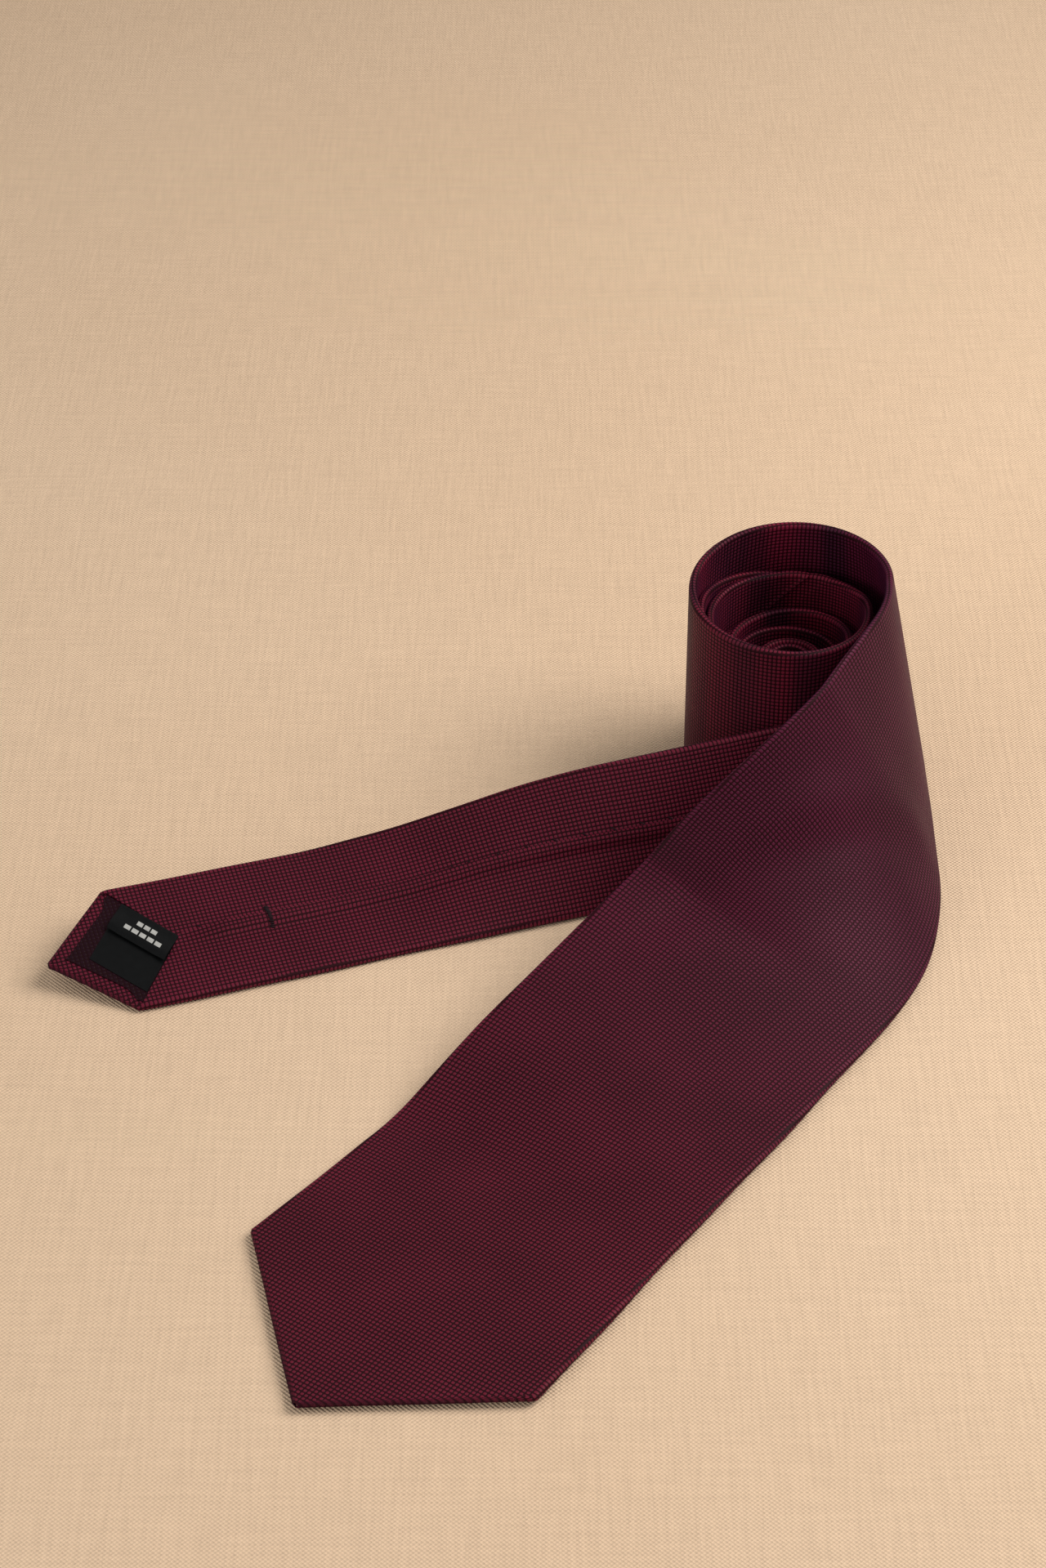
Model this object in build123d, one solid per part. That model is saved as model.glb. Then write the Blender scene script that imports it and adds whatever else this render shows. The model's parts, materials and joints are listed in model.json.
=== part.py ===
from build123d import *
from math import acos, atan2, ceil, cos, degrees, hypot, pi, radians, sin
import os

# A necktie folded at its middle, coiled from the fold and stood on the edge of its coil.
# The wide blade leaves the coil and turns over until it lies flat with its good side up.
# The narrow tail leaves the coil inside it and turns over until its back side is up.
# The origin is where the axis of the coil meets the surface that the tie lies on.
# +X points to the side where the blade leaves the coil, -Y towards the free ends, +Z up.
#
# The tie is one long band. A station is one cross-section of it: the place of its lower
# edge, the direction of travel from the blade's point to the tail's point, the lean of
# the band (0 is flat with the good side up, 90 stands on edge), its width and its lift.

# ---- Outline of the tie ----
BLADE_WIDTH = 80.0          # across the shoulders of the wide blade
BLADE_POINT = 33.5          # from the shoulders to the point
BLADE_TAPER = 0.078         # width lost for each millimetre towards the neck
BLADE_SKEW = 8.2            # the upper shoulder lies this much further back than the lower
TAIL_WIDTH = 36.5           # across the shoulders of the tail
TAIL_POINT = 18.0
TAIL_TAPER = 0.012
NECK_WIDTH = 35.0

# ---- Layers, from the good side to the back ----
CLOTH = 0.35
INTERLINING = 0.7
TIPPING = 0.2
LAYER_FIT = 0.13            # clearance between two layers of the band
BAND = 2 * CLOTH + INTERLINING + TIPPING + 3 * LAYER_FIT
EDGE_BEVEL = 0.45           # stands for the roundness of the folded long edges
SEAM_SLIT = 0.7             # between the two back flaps
THREAD = 0.3
TACK_LENGTH = 6.5
TACK_WIDTH = 1.2
TACK_HEIGHT = 0.2
TACK_FROM_SHOULDERS = 36.5

# ---- Coil ----
COIL_RADIUS = 25.0          # outer face of the outer turn, at the rim
COIL_GAP = 0.25             # between neighbouring turns
COIL_TURNS = 3.7
STEP_IN_FROM = 0.4          # share of each turn after which it steps in by one pitch
COIL_STEP = 12.0            # degrees between stations
FOLD_STEP = 30.0
BASE_FLARE = 11.7           # how far the outer turn stands out at its base, where it starts
TAIL_LIFT = 10.0            # lift of the narrow strand inside the coil
EXIT_LIFT = 4.0             # its lift where it leaves the coil
FOLD_LIFT = 5.0             # lift of both strands at the fold
BAND_PITCH = BAND + COIL_GAP
TURN_PITCH = 2 * BAND_PITCH
BLADE_SEAM_TURN = 38 / 30     # where the blade's cloth is joined to the neck's
TAIL_SEAM_TURN = 48 / 30      # where the neck's cloth is joined to the tail's

# ---- Free part of the blade, by distance from the coil ----
BLADE_LEG = 45.0            # straight, before the bend
BLADE_BEND_RADIUS = 112.0
BLADE_BEND = 34.0           # degrees
BLADE_FREE = 254.0          # from the coil to the shoulders
BLADE_LEAN = [
    (0, 79), (14, 77.5), (26, 72), (45, 61), (70, 46), (90, 32), (112, 19), (136, 13), (165, 8), (198, 0)]
BLADE_CUT = 10.0            # where the free part swings from the coil
BLADE_FLAT = 205.0          # where the flat end folds up

# ---- Free part of the tail, by distance from the coil ----
TAIL_BEND_RADIUS = 36.0
TAIL_BEND = 63.2
TAIL_LEG = 20.0             # straight, after the first bend
TAIL_SECOND_RADIUS = 500.0
TAIL_SECOND_BEND = 7.6
TAIL_FREE = 220.5           # from the coil to the shoulders
TAIL_LEAN = [
    (0, 79), (12, 79), (32, 79), (60, 71), (90, 60), (106, 46), (127, 30), (148, 19), (168, 15)]
TAIL_LIFT_ENDS = 45.0       # where the narrow strand has come down to the surface
TAIL_CUT = 74.0             # where the free part swings from the coil
TAIL_FLAT = 172.0           # where the tail's end folds up
LAW_STEP = 2.0              # the laws above are averaged over a few such steps
STATION_STEP = 5.0

# ---- Ends and what is sewn to them ----
TAIL_OPENING = 15.0         # depth of the V between the tail's back flaps
BLADE_OPENING = 30.0
TIPPING_TUCK = 12.0         # the tipping's length under the flaps, past the V
LABEL_WIDTH = 16.0
LABEL_DEPTH = 16.0
LABEL_LEAF = 8.8            # depth of the upper leaf
LABEL_CLOTH = 0.15
LABEL_FIT = 0.05
LABEL_EDGE = 0.4            # clearance from the edges of the V
LOOP_FROM_COIL = 62.0       # the keeper loop, on the back of the blade
LOOP_BAND = 12.0
LOOP_SPAN = 42.0
LOOP_CLOTH = 0.5
LOOP_ROOM = 1.0             # the space that the tail is passed through
LOOP_SEAT = 0.06            # clearance of its feet from the twisted back of the blade
CUT_GAP = 0.3               # between two bodies where the band bends


def straight_law(points, distance):
    """Straight lines between (distance, value) points, level beyond the ends."""
    before = points[0]
    for point in points:
        if distance < point[0]:
            if point is before:
                return point[1]
            share = (distance - before[0]) / (point[0] - before[0])
            return before[1] + share * (point[1] - before[1])
        before = point
    return before[1]


def law(points, distance):
    """The same lines with their corners rounded, by an average over nearby distances."""
    nearby = [distance + LAW_STEP * step for step in (-3, -2, -1, 0, 1, 2, 3)]
    return sum(straight_law(points, place) for place in nearby) / len(nearby)


def smooth(share):
    share = min(max(share, 0.0), 1.0)
    return share * share * (3 - 2 * share)


def walk(x, y, heading, legs, distance):
    """Follow legs of (length, turn to the right in degrees) for a distance."""
    for length, turn in legs:
        part = min(distance, length)
        if turn == 0:
            x += part * cos(radians(heading))
            y += part * sin(radians(heading))
        else:
            radius = length / radians(turn)
            centre_way = radians(heading - 90)
            turned = turn * part / length
            x += radius * (cos(centre_way) - cos(centre_way - radians(turned)))
            y += radius * (sin(centre_way) - sin(centre_way - radians(turned)))
            heading -= turned
        distance -= part
        if distance <= 0:
            break
    return x, y, heading


class Station:
    """One cross-section of the band."""

    def __init__(self, corner, forward, across, width):
        self.corner = corner
        self.forward = forward
        self.across = across
        self.front = forward.cross(across)
        self.width = width

    def section_plane(self):
        """x runs across the band from its lower edge, y towards its good side."""
        return Plane(self.corner, x_dir=self.across, z_dir=self.forward)

    def flat_plane(self):
        """x runs across the band, y along it against the direction of travel."""
        return Plane(self.corner, x_dir=self.across, z_dir=self.front)

    def strand_inside(self, width, lift):
        """The strand that lies one pitch inside this one and comes back the other way."""
        up_the_band = self.across * (lift / self.across.Z)
        corner = self.corner + up_the_band - self.front * BAND_PITCH
        return Station(corner, self.forward * -1, self.across, width)


def station_at(x, y, heading, lean, width, lift=0.0):
    """A station whose lower edge rests at its lift above the surface."""
    forward = Vector(cos(radians(heading)), sin(radians(heading)), 0)
    left = Vector(-forward.Y, forward.X, 0)
    across = left * cos(radians(lean)) + Vector(0, 0, sin(radians(lean)))
    corner = Vector(x, y, lift + abs(cos(radians(lean))) * BAND / 2)
    return Station(corner, forward, across, width)


# ---- Stations ----
def coil_radius(turn):
    """Radius of the band's middle at the rim: level, then one pitch in on every turn."""
    whole = int(turn)
    stepped = whole + smooth((turn - whole - STEP_IN_FROM) / (1 - STEP_IN_FROM))
    return COIL_RADIUS - BAND / 2 - TURN_PITCH * stepped


def flare(turn):
    """How far the base of the first turn stands outside its rim."""
    if turn > 0.5:
        return 0.0
    return BASE_FLARE * (1 + cos(2 * pi * turn)) / 2


def coil_point(turn, inwards=0.0):
    """The lower edge of the wide strand in plan."""
    radius = coil_radius(turn) - inwards + flare(turn)
    return radius * cos(2 * pi * turn), radius * sin(2 * pi * turn)


def coil_length(turn):
    """Length of the wide strand from the start of the coil, at its rim."""
    steps = ceil(turn * 360 / COIL_STEP)
    if steps == 0:
        return 0.0
    share = turn / steps
    return sum(2 * pi * coil_radius((number + 0.5) * share) * share for number in range(steps))


def blade_width_at(from_shoulders):
    return max(NECK_WIDTH, BLADE_WIDTH - BLADE_TAPER * from_shoulders)


def tail_width_at(from_shoulders):
    return max(NECK_WIDTH, TAIL_WIDTH - TAIL_TAPER * from_shoulders)


def coil_width(turn):
    return blade_width_at(BLADE_FREE + coil_length(turn))


def coil_heading(turn, inwards=0.0):
    nudge = 0.002
    x0, y0 = coil_point(max(turn - nudge, 0), inwards)
    x1, y1 = coil_point(turn + nudge, inwards)
    return degrees(atan2(y1 - y0, x1 - x0))


def coil_lean(turn):
    return degrees(acos(flare(turn) / coil_width(turn)))


def wide_lift(turn):
    """The wide strand climbs to meet the narrow strand at the fold."""
    return FOLD_LIFT * smooth((turn - 1) / (COIL_TURNS - 1))


def narrow_lift(turn):
    """The narrow strand climbs from its exit, then comes down to the fold's lift."""
    climb = EXIT_LIFT + (TAIL_LIFT - EXIT_LIFT) * smooth(2 * turn)
    return climb + (FOLD_LIFT - TAIL_LIFT) * smooth((turn - 1) / (COIL_TURNS - 1))


def wide_coil_station(turn):
    x, y = coil_point(turn)
    lean = coil_lean(turn)
    return station_at(x, y, coil_heading(turn), lean, coil_width(turn), wide_lift(turn))


def narrow_coil_station(turn):
    """Given in the wide strand's direction, so that the two stay one pitch apart."""
    outer = wide_coil_station(turn)
    return outer.strand_inside(NECK_WIDTH, narrow_lift(turn) - wide_lift(turn))


def turns_between(first, last):
    """Whole coil steps between two turns, with both ends."""
    step = COIL_STEP / 360
    inner = [step * number for number in range(int(first / step) + 1, int(last / step) + 1)]
    kept = [turn for turn in inner if turn - first > step / 4 and last - turn > step / 4]
    return [first] + kept + [last]


def wide_coil(first, last):
    return [wide_coil_station(turn) for turn in turns_between(first, last)]


def narrow_coil(first, last):
    return [narrow_coil_station(turn) for turn in turns_between(first, last)][::-1]


def fold_stations():
    """The half turn at the middle of the tie, from the wide strand to the narrow one."""
    x, y = coil_point(COIL_TURNS, BAND_PITCH / 2)
    heading = coil_heading(COIL_TURNS)
    stations = []
    for number in range(1, int(180 / FOLD_STEP)):
        way = heading + number * FOLD_STEP
        outward = radians(way - 90)
        place_x = x + BAND_PITCH / 2 * cos(outward)
        place_y = y + BAND_PITCH / 2 * sin(outward)
        stations.append(station_at(place_x, place_y, way, 90, NECK_WIDTH, FOLD_LIFT))
    return stations


def blade_station(distance):
    """A station of the blade, by distance from the coil towards its point."""
    x, y = coil_point(0)
    bend_length = BLADE_BEND_RADIUS * radians(BLADE_BEND)
    legs = [(BLADE_LEG, 0), (bend_length, BLADE_BEND), (10 * BLADE_FREE, 0)]
    x, y, away = walk(x, y, -90, legs, distance)
    width = blade_width_at(BLADE_FREE - distance)
    return station_at(x, y, away + 180, law(BLADE_LEAN, distance), width)


def tail_station(distance):
    """A station of the tail, by distance from the coil towards its point."""
    lift = EXIT_LIFT * (1 - smooth(distance / TAIL_LIFT_ENDS))
    start = narrow_coil_station(0).corner
    bend_length = TAIL_BEND_RADIUS * radians(TAIL_BEND)
    second_length = TAIL_SECOND_RADIUS * radians(TAIL_SECOND_BEND)
    legs = [(bend_length, TAIL_BEND), (TAIL_LEG, 0), (second_length, TAIL_SECOND_BEND)]
    x, y, away = walk(start.X, start.Y, -90, legs + [(10 * TAIL_FREE, 0)], distance)
    width = tail_width_at(TAIL_FREE - distance)
    return station_at(x, y, away, 180 - law(TAIL_LEAN, distance), width, lift)


def spaced(first, last):
    count = max(1, round(abs(last - first) / STATION_STEP))
    return [first + (last - first) * number / count for number in range(count + 1)]


# ---- Cross-sections of the layers, as (across, towards the good side) ----
HALF = BAND / 2
UNDER_CLOTH = HALF - CLOTH - LAYER_FIT
UNDER_INTERLINING = UNDER_CLOTH - INTERLINING - LAYER_FIT
UNDER_TIPPING = UNDER_INTERLINING - TIPPING


def box_outline(low_x, high_x, low_y, high_y):
    return [(low_x, low_y), (high_x, low_y), (high_x, high_y), (low_x, high_y)]


def cloth_outline(width):
    """The folded cloth: good side, two folded edges, and two back flaps with a slit."""
    left = (width - SEAM_SLIT) / 2
    right = (width + SEAM_SLIT) / 2
    inner = HALF - CLOTH
    return [
        (EDGE_BEVEL, HALF), (0, HALF - EDGE_BEVEL), (0, EDGE_BEVEL - HALF), (EDGE_BEVEL, -HALF),
        (left, -HALF), (left, -inner), (CLOTH, -inner), (CLOTH, inner),
        (width - CLOTH, inner), (width - CLOTH, -inner), (right, -inner), (right, -HALF),
        (width - EDGE_BEVEL, -HALF), (width, EDGE_BEVEL - HALF),
        (width, HALF - EDGE_BEVEL), (width - EDGE_BEVEL, HALF),
    ]


def interlining_outline(width):
    side = CLOTH + LAYER_FIT
    return box_outline(side, width - side, UNDER_CLOTH - INTERLINING, UNDER_CLOTH)


def thread_outline(width):
    return box_outline((width - THREAD) / 2, (width + THREAD) / 2, -HALF, THREAD - HALF)


def loop_outline(width):
    """The keeper loop: a strap over the back with its two ends turned in against it."""
    left = (width - LOOP_SPAN) / 2
    right = (width + LOOP_SPAN) / 2
    foot = -HALF - LOOP_SEAT
    top = foot - LOOP_ROOM
    return [
        (left, foot), (left, top - LOOP_CLOTH), (right, top - LOOP_CLOTH), (right, foot),
        (right - LOOP_CLOTH, foot), (right - LOOP_CLOTH, top),
        (left + LOOP_CLOTH, top), (left + LOOP_CLOTH, foot),
    ]


def loop_tack_outline(width, side):
    """One of the two tacks that hold the keeper loop, beside its foot."""
    near = width / 2 + side * (LOOP_SPAN / 2 + LOOP_SEAT)
    far = near + side * TACK_WIDTH
    return box_outline(min(near, far), max(near, far), -HALF - LOOP_SEAT - THREAD, -HALF - LOOP_SEAT)


def band(stations, outline):
    """A solid through the same outline drawn at every station."""
    sections = []
    for station in stations:
        sections.append(station.section_plane() * Polygon(*outline(station.width), align=None))
    return loft(sections, ruled=True)


# ---- The two ends, drawn flat in the plane of their first station ----
def end_outline(width, point, taper, length, inset):
    """From the fold line to the point, with (0, 0) at the shoulder on the lower edge."""
    slope = 2 * point / width
    drop = inset * hypot(1, slope)
    shoulder = slope * inset - drop
    far_width = width - taper * length
    return [
        (inset, -length), (inset, shoulder), (width / 2, point - drop),
        (width - inset, shoulder), (far_width - inset, -length),
    ]


def opening_outline(width, point, taper, length, depth):
    """The V between the back flaps, with the slit that runs on from its apex."""
    outline = end_outline(width, point, taper, length, CLOTH)
    middle = (width - taper * depth) / 2
    far_middle = (width - taper * length) / 2
    half = SEAM_SLIT / 2
    return [
        outline[1], (middle - half, -depth), (far_middle - half, -length),
        (far_middle + half, -length), (middle + half, -depth), outline[3], outline[2],
    ]


class End:
    """One pointed end of the tie, drawn flat and then laid at its station."""

    def __init__(self, station, way, skew, width, point, taper, length, depth):
        self.plane = station.flat_plane()
        self.way = way
        self.skew = skew
        self.sizes = (width, point, taper, length)
        self.length = length
        self.depth = depth

    def plate(self, points, low, high):
        """A flat piece between two heights towards the good side."""
        width = self.sizes[0]
        placed = []
        for x, y in points:
            past_fold = min((y + self.length) / self.length, 1.0)
            skewed = y - self.skew * past_fold * x / width
            placed.append((x, self.way * (skewed + self.length)))
        face = Plane.XY.offset(low) * Polygon(*placed, align=None)
        return self.plane * extrude(face, amount=high - low, dir=(0, 0, 1))

    def cloth(self):
        outside = self.plate(end_outline(*self.sizes, 0), -HALF, HALF)
        pocket = self.plate(end_outline(*self.sizes, CLOTH), CLOTH - HALF, HALF - CLOTH)
        opening = self.plate(opening_outline(*self.sizes, self.depth), -HALF, CLOTH - HALF)
        return outside - pocket - opening

    def interlining(self):
        points = end_outline(*self.sizes, CLOTH + LAYER_FIT)
        return self.plate(points, UNDER_CLOTH - INTERLINING, UNDER_CLOTH)

    def tipping(self):
        width, point, taper, _ = self.sizes
        points = end_outline(width, point, taper, self.depth + TIPPING_TUCK, CLOTH + LAYER_FIT)
        return self.plate(points, UNDER_TIPPING, UNDER_INTERLINING)

    def thread(self):
        width, _, taper, length = self.sizes
        near = (width - taper * self.depth) / 2
        far = (width - taper * length) / 2
        half = THREAD / 2
        outline = [(near - half, -self.depth), (near + half, -self.depth),
                   (far + half, -length), (far - half, -length)]
        return self.plate(outline, -HALF, THREAD - HALF)

    def tack(self):
        width, _, taper, _ = self.sizes
        middle = (width - taper * TACK_FROM_SHOULDERS) / 2
        outline = box_outline(
            middle - TACK_LENGTH / 2, middle + TACK_LENGTH / 2,
            -TACK_FROM_SHOULDERS - TACK_WIDTH / 2, -TACK_FROM_SHOULDERS + TACK_WIDTH / 2)
        return self.plate(outline, -HALF, TACK_HEIGHT - HALF)

    def label_leaf(self, depth, under):
        """A leaf of the care label, with one long side along the upper edge of the V."""
        width, _, taper, _ = self.sizes
        apex = ((width - taper * self.depth) / 2, -self.depth)
        edge = hypot(width - apex[0], self.depth)
        along = ((width - apex[0]) / edge, self.depth / edge)
        inward = (-along[1], along[0])
        corners = box_outline(LABEL_EDGE, LABEL_EDGE + LABEL_WIDTH, LABEL_EDGE, depth)
        placed = []
        for out, into in corners:
            placed.append((apex[0] + along[0] * out + inward[0] * into,
                           apex[1] + along[1] * out + inward[1] * into))
        return self.plate(placed, under - LABEL_CLOTH, under)


def build():
    """Every piece of the tie, by name."""
    wide_end = blade_station(BLADE_FLAT)
    blade_end = End(wide_end, 1, BLADE_SKEW, BLADE_WIDTH, BLADE_POINT, BLADE_TAPER,
                    BLADE_FREE - BLADE_FLAT, BLADE_OPENING)
    narrow_end = tail_station(TAIL_FLAT)
    tail_end = End(narrow_end, -1, 0.0, TAIL_WIDTH, TAIL_POINT, TAIL_TAPER,
                   TAIL_FREE - TAIL_FLAT, TAIL_OPENING)

    half_cut = CUT_GAP / 2
    blade_places = spaced(BLADE_FLAT - CUT_GAP, BLADE_CUT + half_cut)
    blade = [blade_station(place) for place in blade_places]
    tail = [tail_station(place) for place in spaced(TAIL_CUT + half_cut, TAIL_FLAT - CUT_GAP)]
    blade_root = [blade_station(place) for place in spaced(BLADE_CUT - half_cut, 0)]
    tail_root = [tail_station(place) for place in spaced(0, TAIL_CUT - half_cut)]
    seam = COIL_STEP / 360 / 8
    wide_outer = blade_root[:-1] + wide_coil(0, BLADE_SEAM_TURN - seam)
    neck = wide_coil(BLADE_SEAM_TURN + seam, COIL_TURNS) + fold_stations()
    neck += narrow_coil(TAIL_SEAM_TURN + seam, COIL_TURNS)
    narrow_outer = narrow_coil(0, TAIL_SEAM_TURN - seam) + tail_root[1:]
    wide_strand = blade_root[:-1] + wide_coil(0, COIL_TURNS)
    narrow_strand = narrow_coil(0, COIL_TURNS) + tail_root[1:]
    loop_places = spaced(LOOP_FROM_COIL + LOOP_BAND / 2, LOOP_FROM_COIL - LOOP_BAND / 2)
    loop = [blade_station(place) for place in loop_places]

    pieces = {
        "blade_end_cloth": blade_end.cloth() - blade_end.tack(),
        "blade_end_interlining": blade_end.interlining(),
        "blade_tipping": blade_end.tipping(),
        "blade_end_slip_stitch": blade_end.thread() - blade_end.tack(),
        "blade_bar_tack": blade_end.tack(),
        "blade_cloth": band(blade, cloth_outline),
        "blade_interlining": band(blade, interlining_outline),
        "blade_slip_stitch": band(blade, thread_outline),
        "keeper_loop": band(loop, loop_outline),
        "keeper_loop_tacks": Compound(children=[
            band(loop, lambda width: loop_tack_outline(width, -1)),
            band(loop, lambda width: loop_tack_outline(width, 1))]),
        "coil_blade_cloth": band(wide_outer, cloth_outline),
        "coil_neck_cloth": band(neck, cloth_outline),
        "coil_tail_cloth": band(narrow_outer, cloth_outline),
        "coil_blade_interlining": band(wide_strand, interlining_outline),
        "coil_tail_interlining": band(narrow_strand, interlining_outline),
        "tail_cloth": band(tail, cloth_outline),
        "tail_interlining": band(tail, interlining_outline),
        "tail_slip_stitch": band(tail, thread_outline),
        "tail_end_cloth": tail_end.cloth() - tail_end.tack(),
        "tail_end_interlining": tail_end.interlining(),
        "tail_tipping": tail_end.tipping(),
        "tail_end_slip_stitch": tail_end.thread() - tail_end.tack(),
        "tail_bar_tack": tail_end.tack(),
        "label_lower_leaf": tail_end.label_leaf(LABEL_DEPTH, UNDER_TIPPING - LABEL_FIT),
        "label_upper_leaf": tail_end.label_leaf(
            LABEL_LEAF, UNDER_TIPPING - 2 * LABEL_FIT - LABEL_CLOTH),
    }
    return pieces


if __name__ == "__main__":
    os.makedirs("parts", exist_ok=True)
    for name, solid in build().items():
        export_step(solid, f"parts/{name}.step")
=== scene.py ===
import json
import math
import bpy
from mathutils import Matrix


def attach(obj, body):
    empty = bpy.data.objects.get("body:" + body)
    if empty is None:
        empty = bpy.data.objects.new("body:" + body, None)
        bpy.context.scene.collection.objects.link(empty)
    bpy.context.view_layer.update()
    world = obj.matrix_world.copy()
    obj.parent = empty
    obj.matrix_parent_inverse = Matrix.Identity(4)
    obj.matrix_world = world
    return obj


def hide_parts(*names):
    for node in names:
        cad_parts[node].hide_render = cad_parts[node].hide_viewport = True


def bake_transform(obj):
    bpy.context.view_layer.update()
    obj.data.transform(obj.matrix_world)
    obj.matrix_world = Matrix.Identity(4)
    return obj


bl_info = {
    "name": "Coiled necktie",
    "version": (1, 0, 0),
    "blender": (4, 5, 0),
    "location": "3D View > Sidebar > Necktie",
    "description": "A dotted woven necktie, folded at its middle and coiled",
    "category": "Object",
}

import bpy
import numpy as np
from mathutils import Vector

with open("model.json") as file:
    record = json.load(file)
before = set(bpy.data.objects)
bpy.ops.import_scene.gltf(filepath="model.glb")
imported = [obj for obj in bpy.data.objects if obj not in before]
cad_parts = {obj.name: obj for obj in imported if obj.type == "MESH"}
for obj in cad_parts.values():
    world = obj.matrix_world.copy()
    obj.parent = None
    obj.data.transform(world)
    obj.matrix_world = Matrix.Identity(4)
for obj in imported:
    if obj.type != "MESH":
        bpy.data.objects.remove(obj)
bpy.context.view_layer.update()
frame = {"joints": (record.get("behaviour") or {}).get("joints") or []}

MM = 0.001

# ---- The band, in millimetres, as the CAD part has it ----
BLADE_WIDTH, BLADE_POINT, BLADE_TAPER = 80.0, 33.5, 0.078
TAIL_WIDTH, TAIL_POINT, TAIL_TAPER = 36.5, 18.0, 0.012
NECK_WIDTH = 35.0
BAND = 1.99
BAND_PITCH = 2.24
COIL_RADIUS, COIL_TURNS, STEP_IN_FROM, BASE_FLARE = 25.0, 3.7, 0.72, 11.7
COIL_DROOP, COIL_DROOP_TURN, COIL_EASE = 1.2, 0.62, 3.2
LOOSE_FROM, LOOSE_OVER = 2.3, 0.9
COIL_SLICES, STATIONS_PER_TURN = 400, 144
EXIT_LIFT, FOLD_LIFT, TAIL_LIFT_ENDS = 4.0, 0.3, 45.0
# Lifts of the two bands off the floor, in the coil: (turn, millimetres)
WIDE_LIFT = [(0.0, 0), (0.12, 1.8), (0.3, 2.2), (0.6, 0), (0.9, 1.2), (1.25, 2.8), (1.5, 3.5),
             (2.0, 2.0), (2.5, 1.2), (3.4, FOLD_LIFT)]
NARROW_LIFT = [(0.08, EXIT_LIFT), (0.27, 11), (0.5, 15), (0.75, 10), (1.0, 4), (1.25, 0.6),
               (3.4, FOLD_LIFT)]
LIFT_REACH = 0.07
BLADE_SEAM_TURN, TAIL_SEAM_TURN = 1.38, 1.6
BLADE_LEG, BLADE_BEND_RADIUS, BLADE_BEND, BLADE_SKEW = 45.0, 112.0, 34.0, 8.2
BLADE_FREE, BLADE_FLAT, BLADE_OPENING = 254.0, 205.0, 30.0
CREASE_FROM_COIL, CREASE_REACH = 42.0, 62.0
BLADE_LEAN = [(0, 79), (14, 77.5), (26, 72), (45, 61), (70, 46), (90, 32), (112, 19),
              (136, 13), (165, 8), (198, 0)]
TAIL_BEND_RADIUS, TAIL_BEND, TAIL_LEG = 36.0, 63.2, 20.0
TAIL_SECOND_RADIUS, TAIL_SECOND_BEND = 500.0, 7.6
TAIL_FREE, TAIL_CUT, TAIL_FLAT, TAIL_OPENING = 220.5, 74.0, 172.0, 15.0
TAIL_LEAN = [(0, 79), (12, 79), (32, 79), (60, 71), (90, 60), (106, 46), (127, 30), (148, 19),
             (168, 15)]
TACK_FROM_SHOULDERS = 36.5
LOOP_FROM_COIL, LOOP_BAND, LOOP_SPAN = 62.0, 12.0, 42.0
LOOP_STAND, LOOP_ARCH, LOOP_HALF, LOOP_STITCH_STAND = 0.62, 1.5, 0.42, 1.05
LABEL_WIDTH, LABEL_DEPTH, LABEL_LEAF, LABEL_EDGE = 16.6, 18.2, 8.8, 0.4
LABEL_FOLD, LABEL_THICKNESS = 0.9, 0.13
# The rows of woven bars on the label: middle, first, last, pitch
LABEL_BARS = ((-5.6, 5.2, 11.2, 2.0), (-2.9, 2.6, 13.6, 2.2))

# ---- The folded cloth, in millimetres ----
LAP_REACH, UNDERLAP_REACH = 1.1, 1.4
LAP_START, LAP_RUN, LAP_LEAST = 3.2, 2.2, 0.12
LINING_OUT, LINING_IN = -0.62, -0.45
CANVAS_OUT, CANVAS_IN = -0.14, 0.40
HEM_OUT, BLADE_HEM, POINT_BACK = -0.42, 11.0, 0.42
STITCH_STAND, SEAM_ASIDE = 0.12, 1.25
TACK_HALF = 3.1

# ---- How the cloth settles, in millimetres ----
TAIL_ARCH, BLADE_CROWN, BLADE_STAND, RIPPLE = -1.7, 0.55, 0.42, 0.22
CREASE_RUN, CREASE_CURVE, CREASE_UP, CREASE_DOWN = 60.0, 2.6, 1.0, 0.7
SEAM_RIDGE, SEAM_GROOVE = 0.24, 0.42

# ---- Where the shown pieces meet, by distance from the coil ----
BLADE_SPLIT = 128.0
TAIL_SPLIT = 134.0

# ---- The stage, in metres and degrees, with the sensor in millimetres ----
FLOOR_HALF, SENSOR_WIDTH = 4.0, 36.0
LIT_PLACE, KEY_PLACE, FILL_PLACE = (-0.03, -0.08, 0.01), (0.60, 0.05, 0.70), (-0.80, -0.75, 0.35)
KEY_SIZE, FILL_SIZE = 0.75, 0.62
CAMERA_PLACE, CAMERA_TILT = (-0.0658, -0.7699, 0.545), 54.5


# ---------------------------------------------------------------- route of the band
def smooth(share):
    share = np.clip(share, 0.0, 1.0)
    return share * share * (3 - 2 * share)


def law(points, place, reach=6.0):
    """Straight lines between (place, value) points with their corners rounded."""
    xs, ys = zip(*points)
    return float(np.mean(np.interp(place + np.linspace(-reach, reach, 7), xs, ys)))


def walk(x, y, heading, legs, distance):
    """Follow legs of (length, turn to the right in degrees) for a distance."""
    for length, turn in legs:
        part = min(distance, length)
        if turn == 0:
            x += part * math.cos(math.radians(heading))
            y += part * math.sin(math.radians(heading))
        else:
            radius = length / math.radians(turn)
            centre = math.radians(heading - 90)
            turned = turn * part / length
            x += radius * (math.cos(centre) - math.cos(centre - math.radians(turned)))
            y += radius * (math.sin(centre) - math.sin(centre - math.radians(turned)))
            heading -= turned
        distance -= part
        if distance <= 0:
            break
    return x, y, heading


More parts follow.
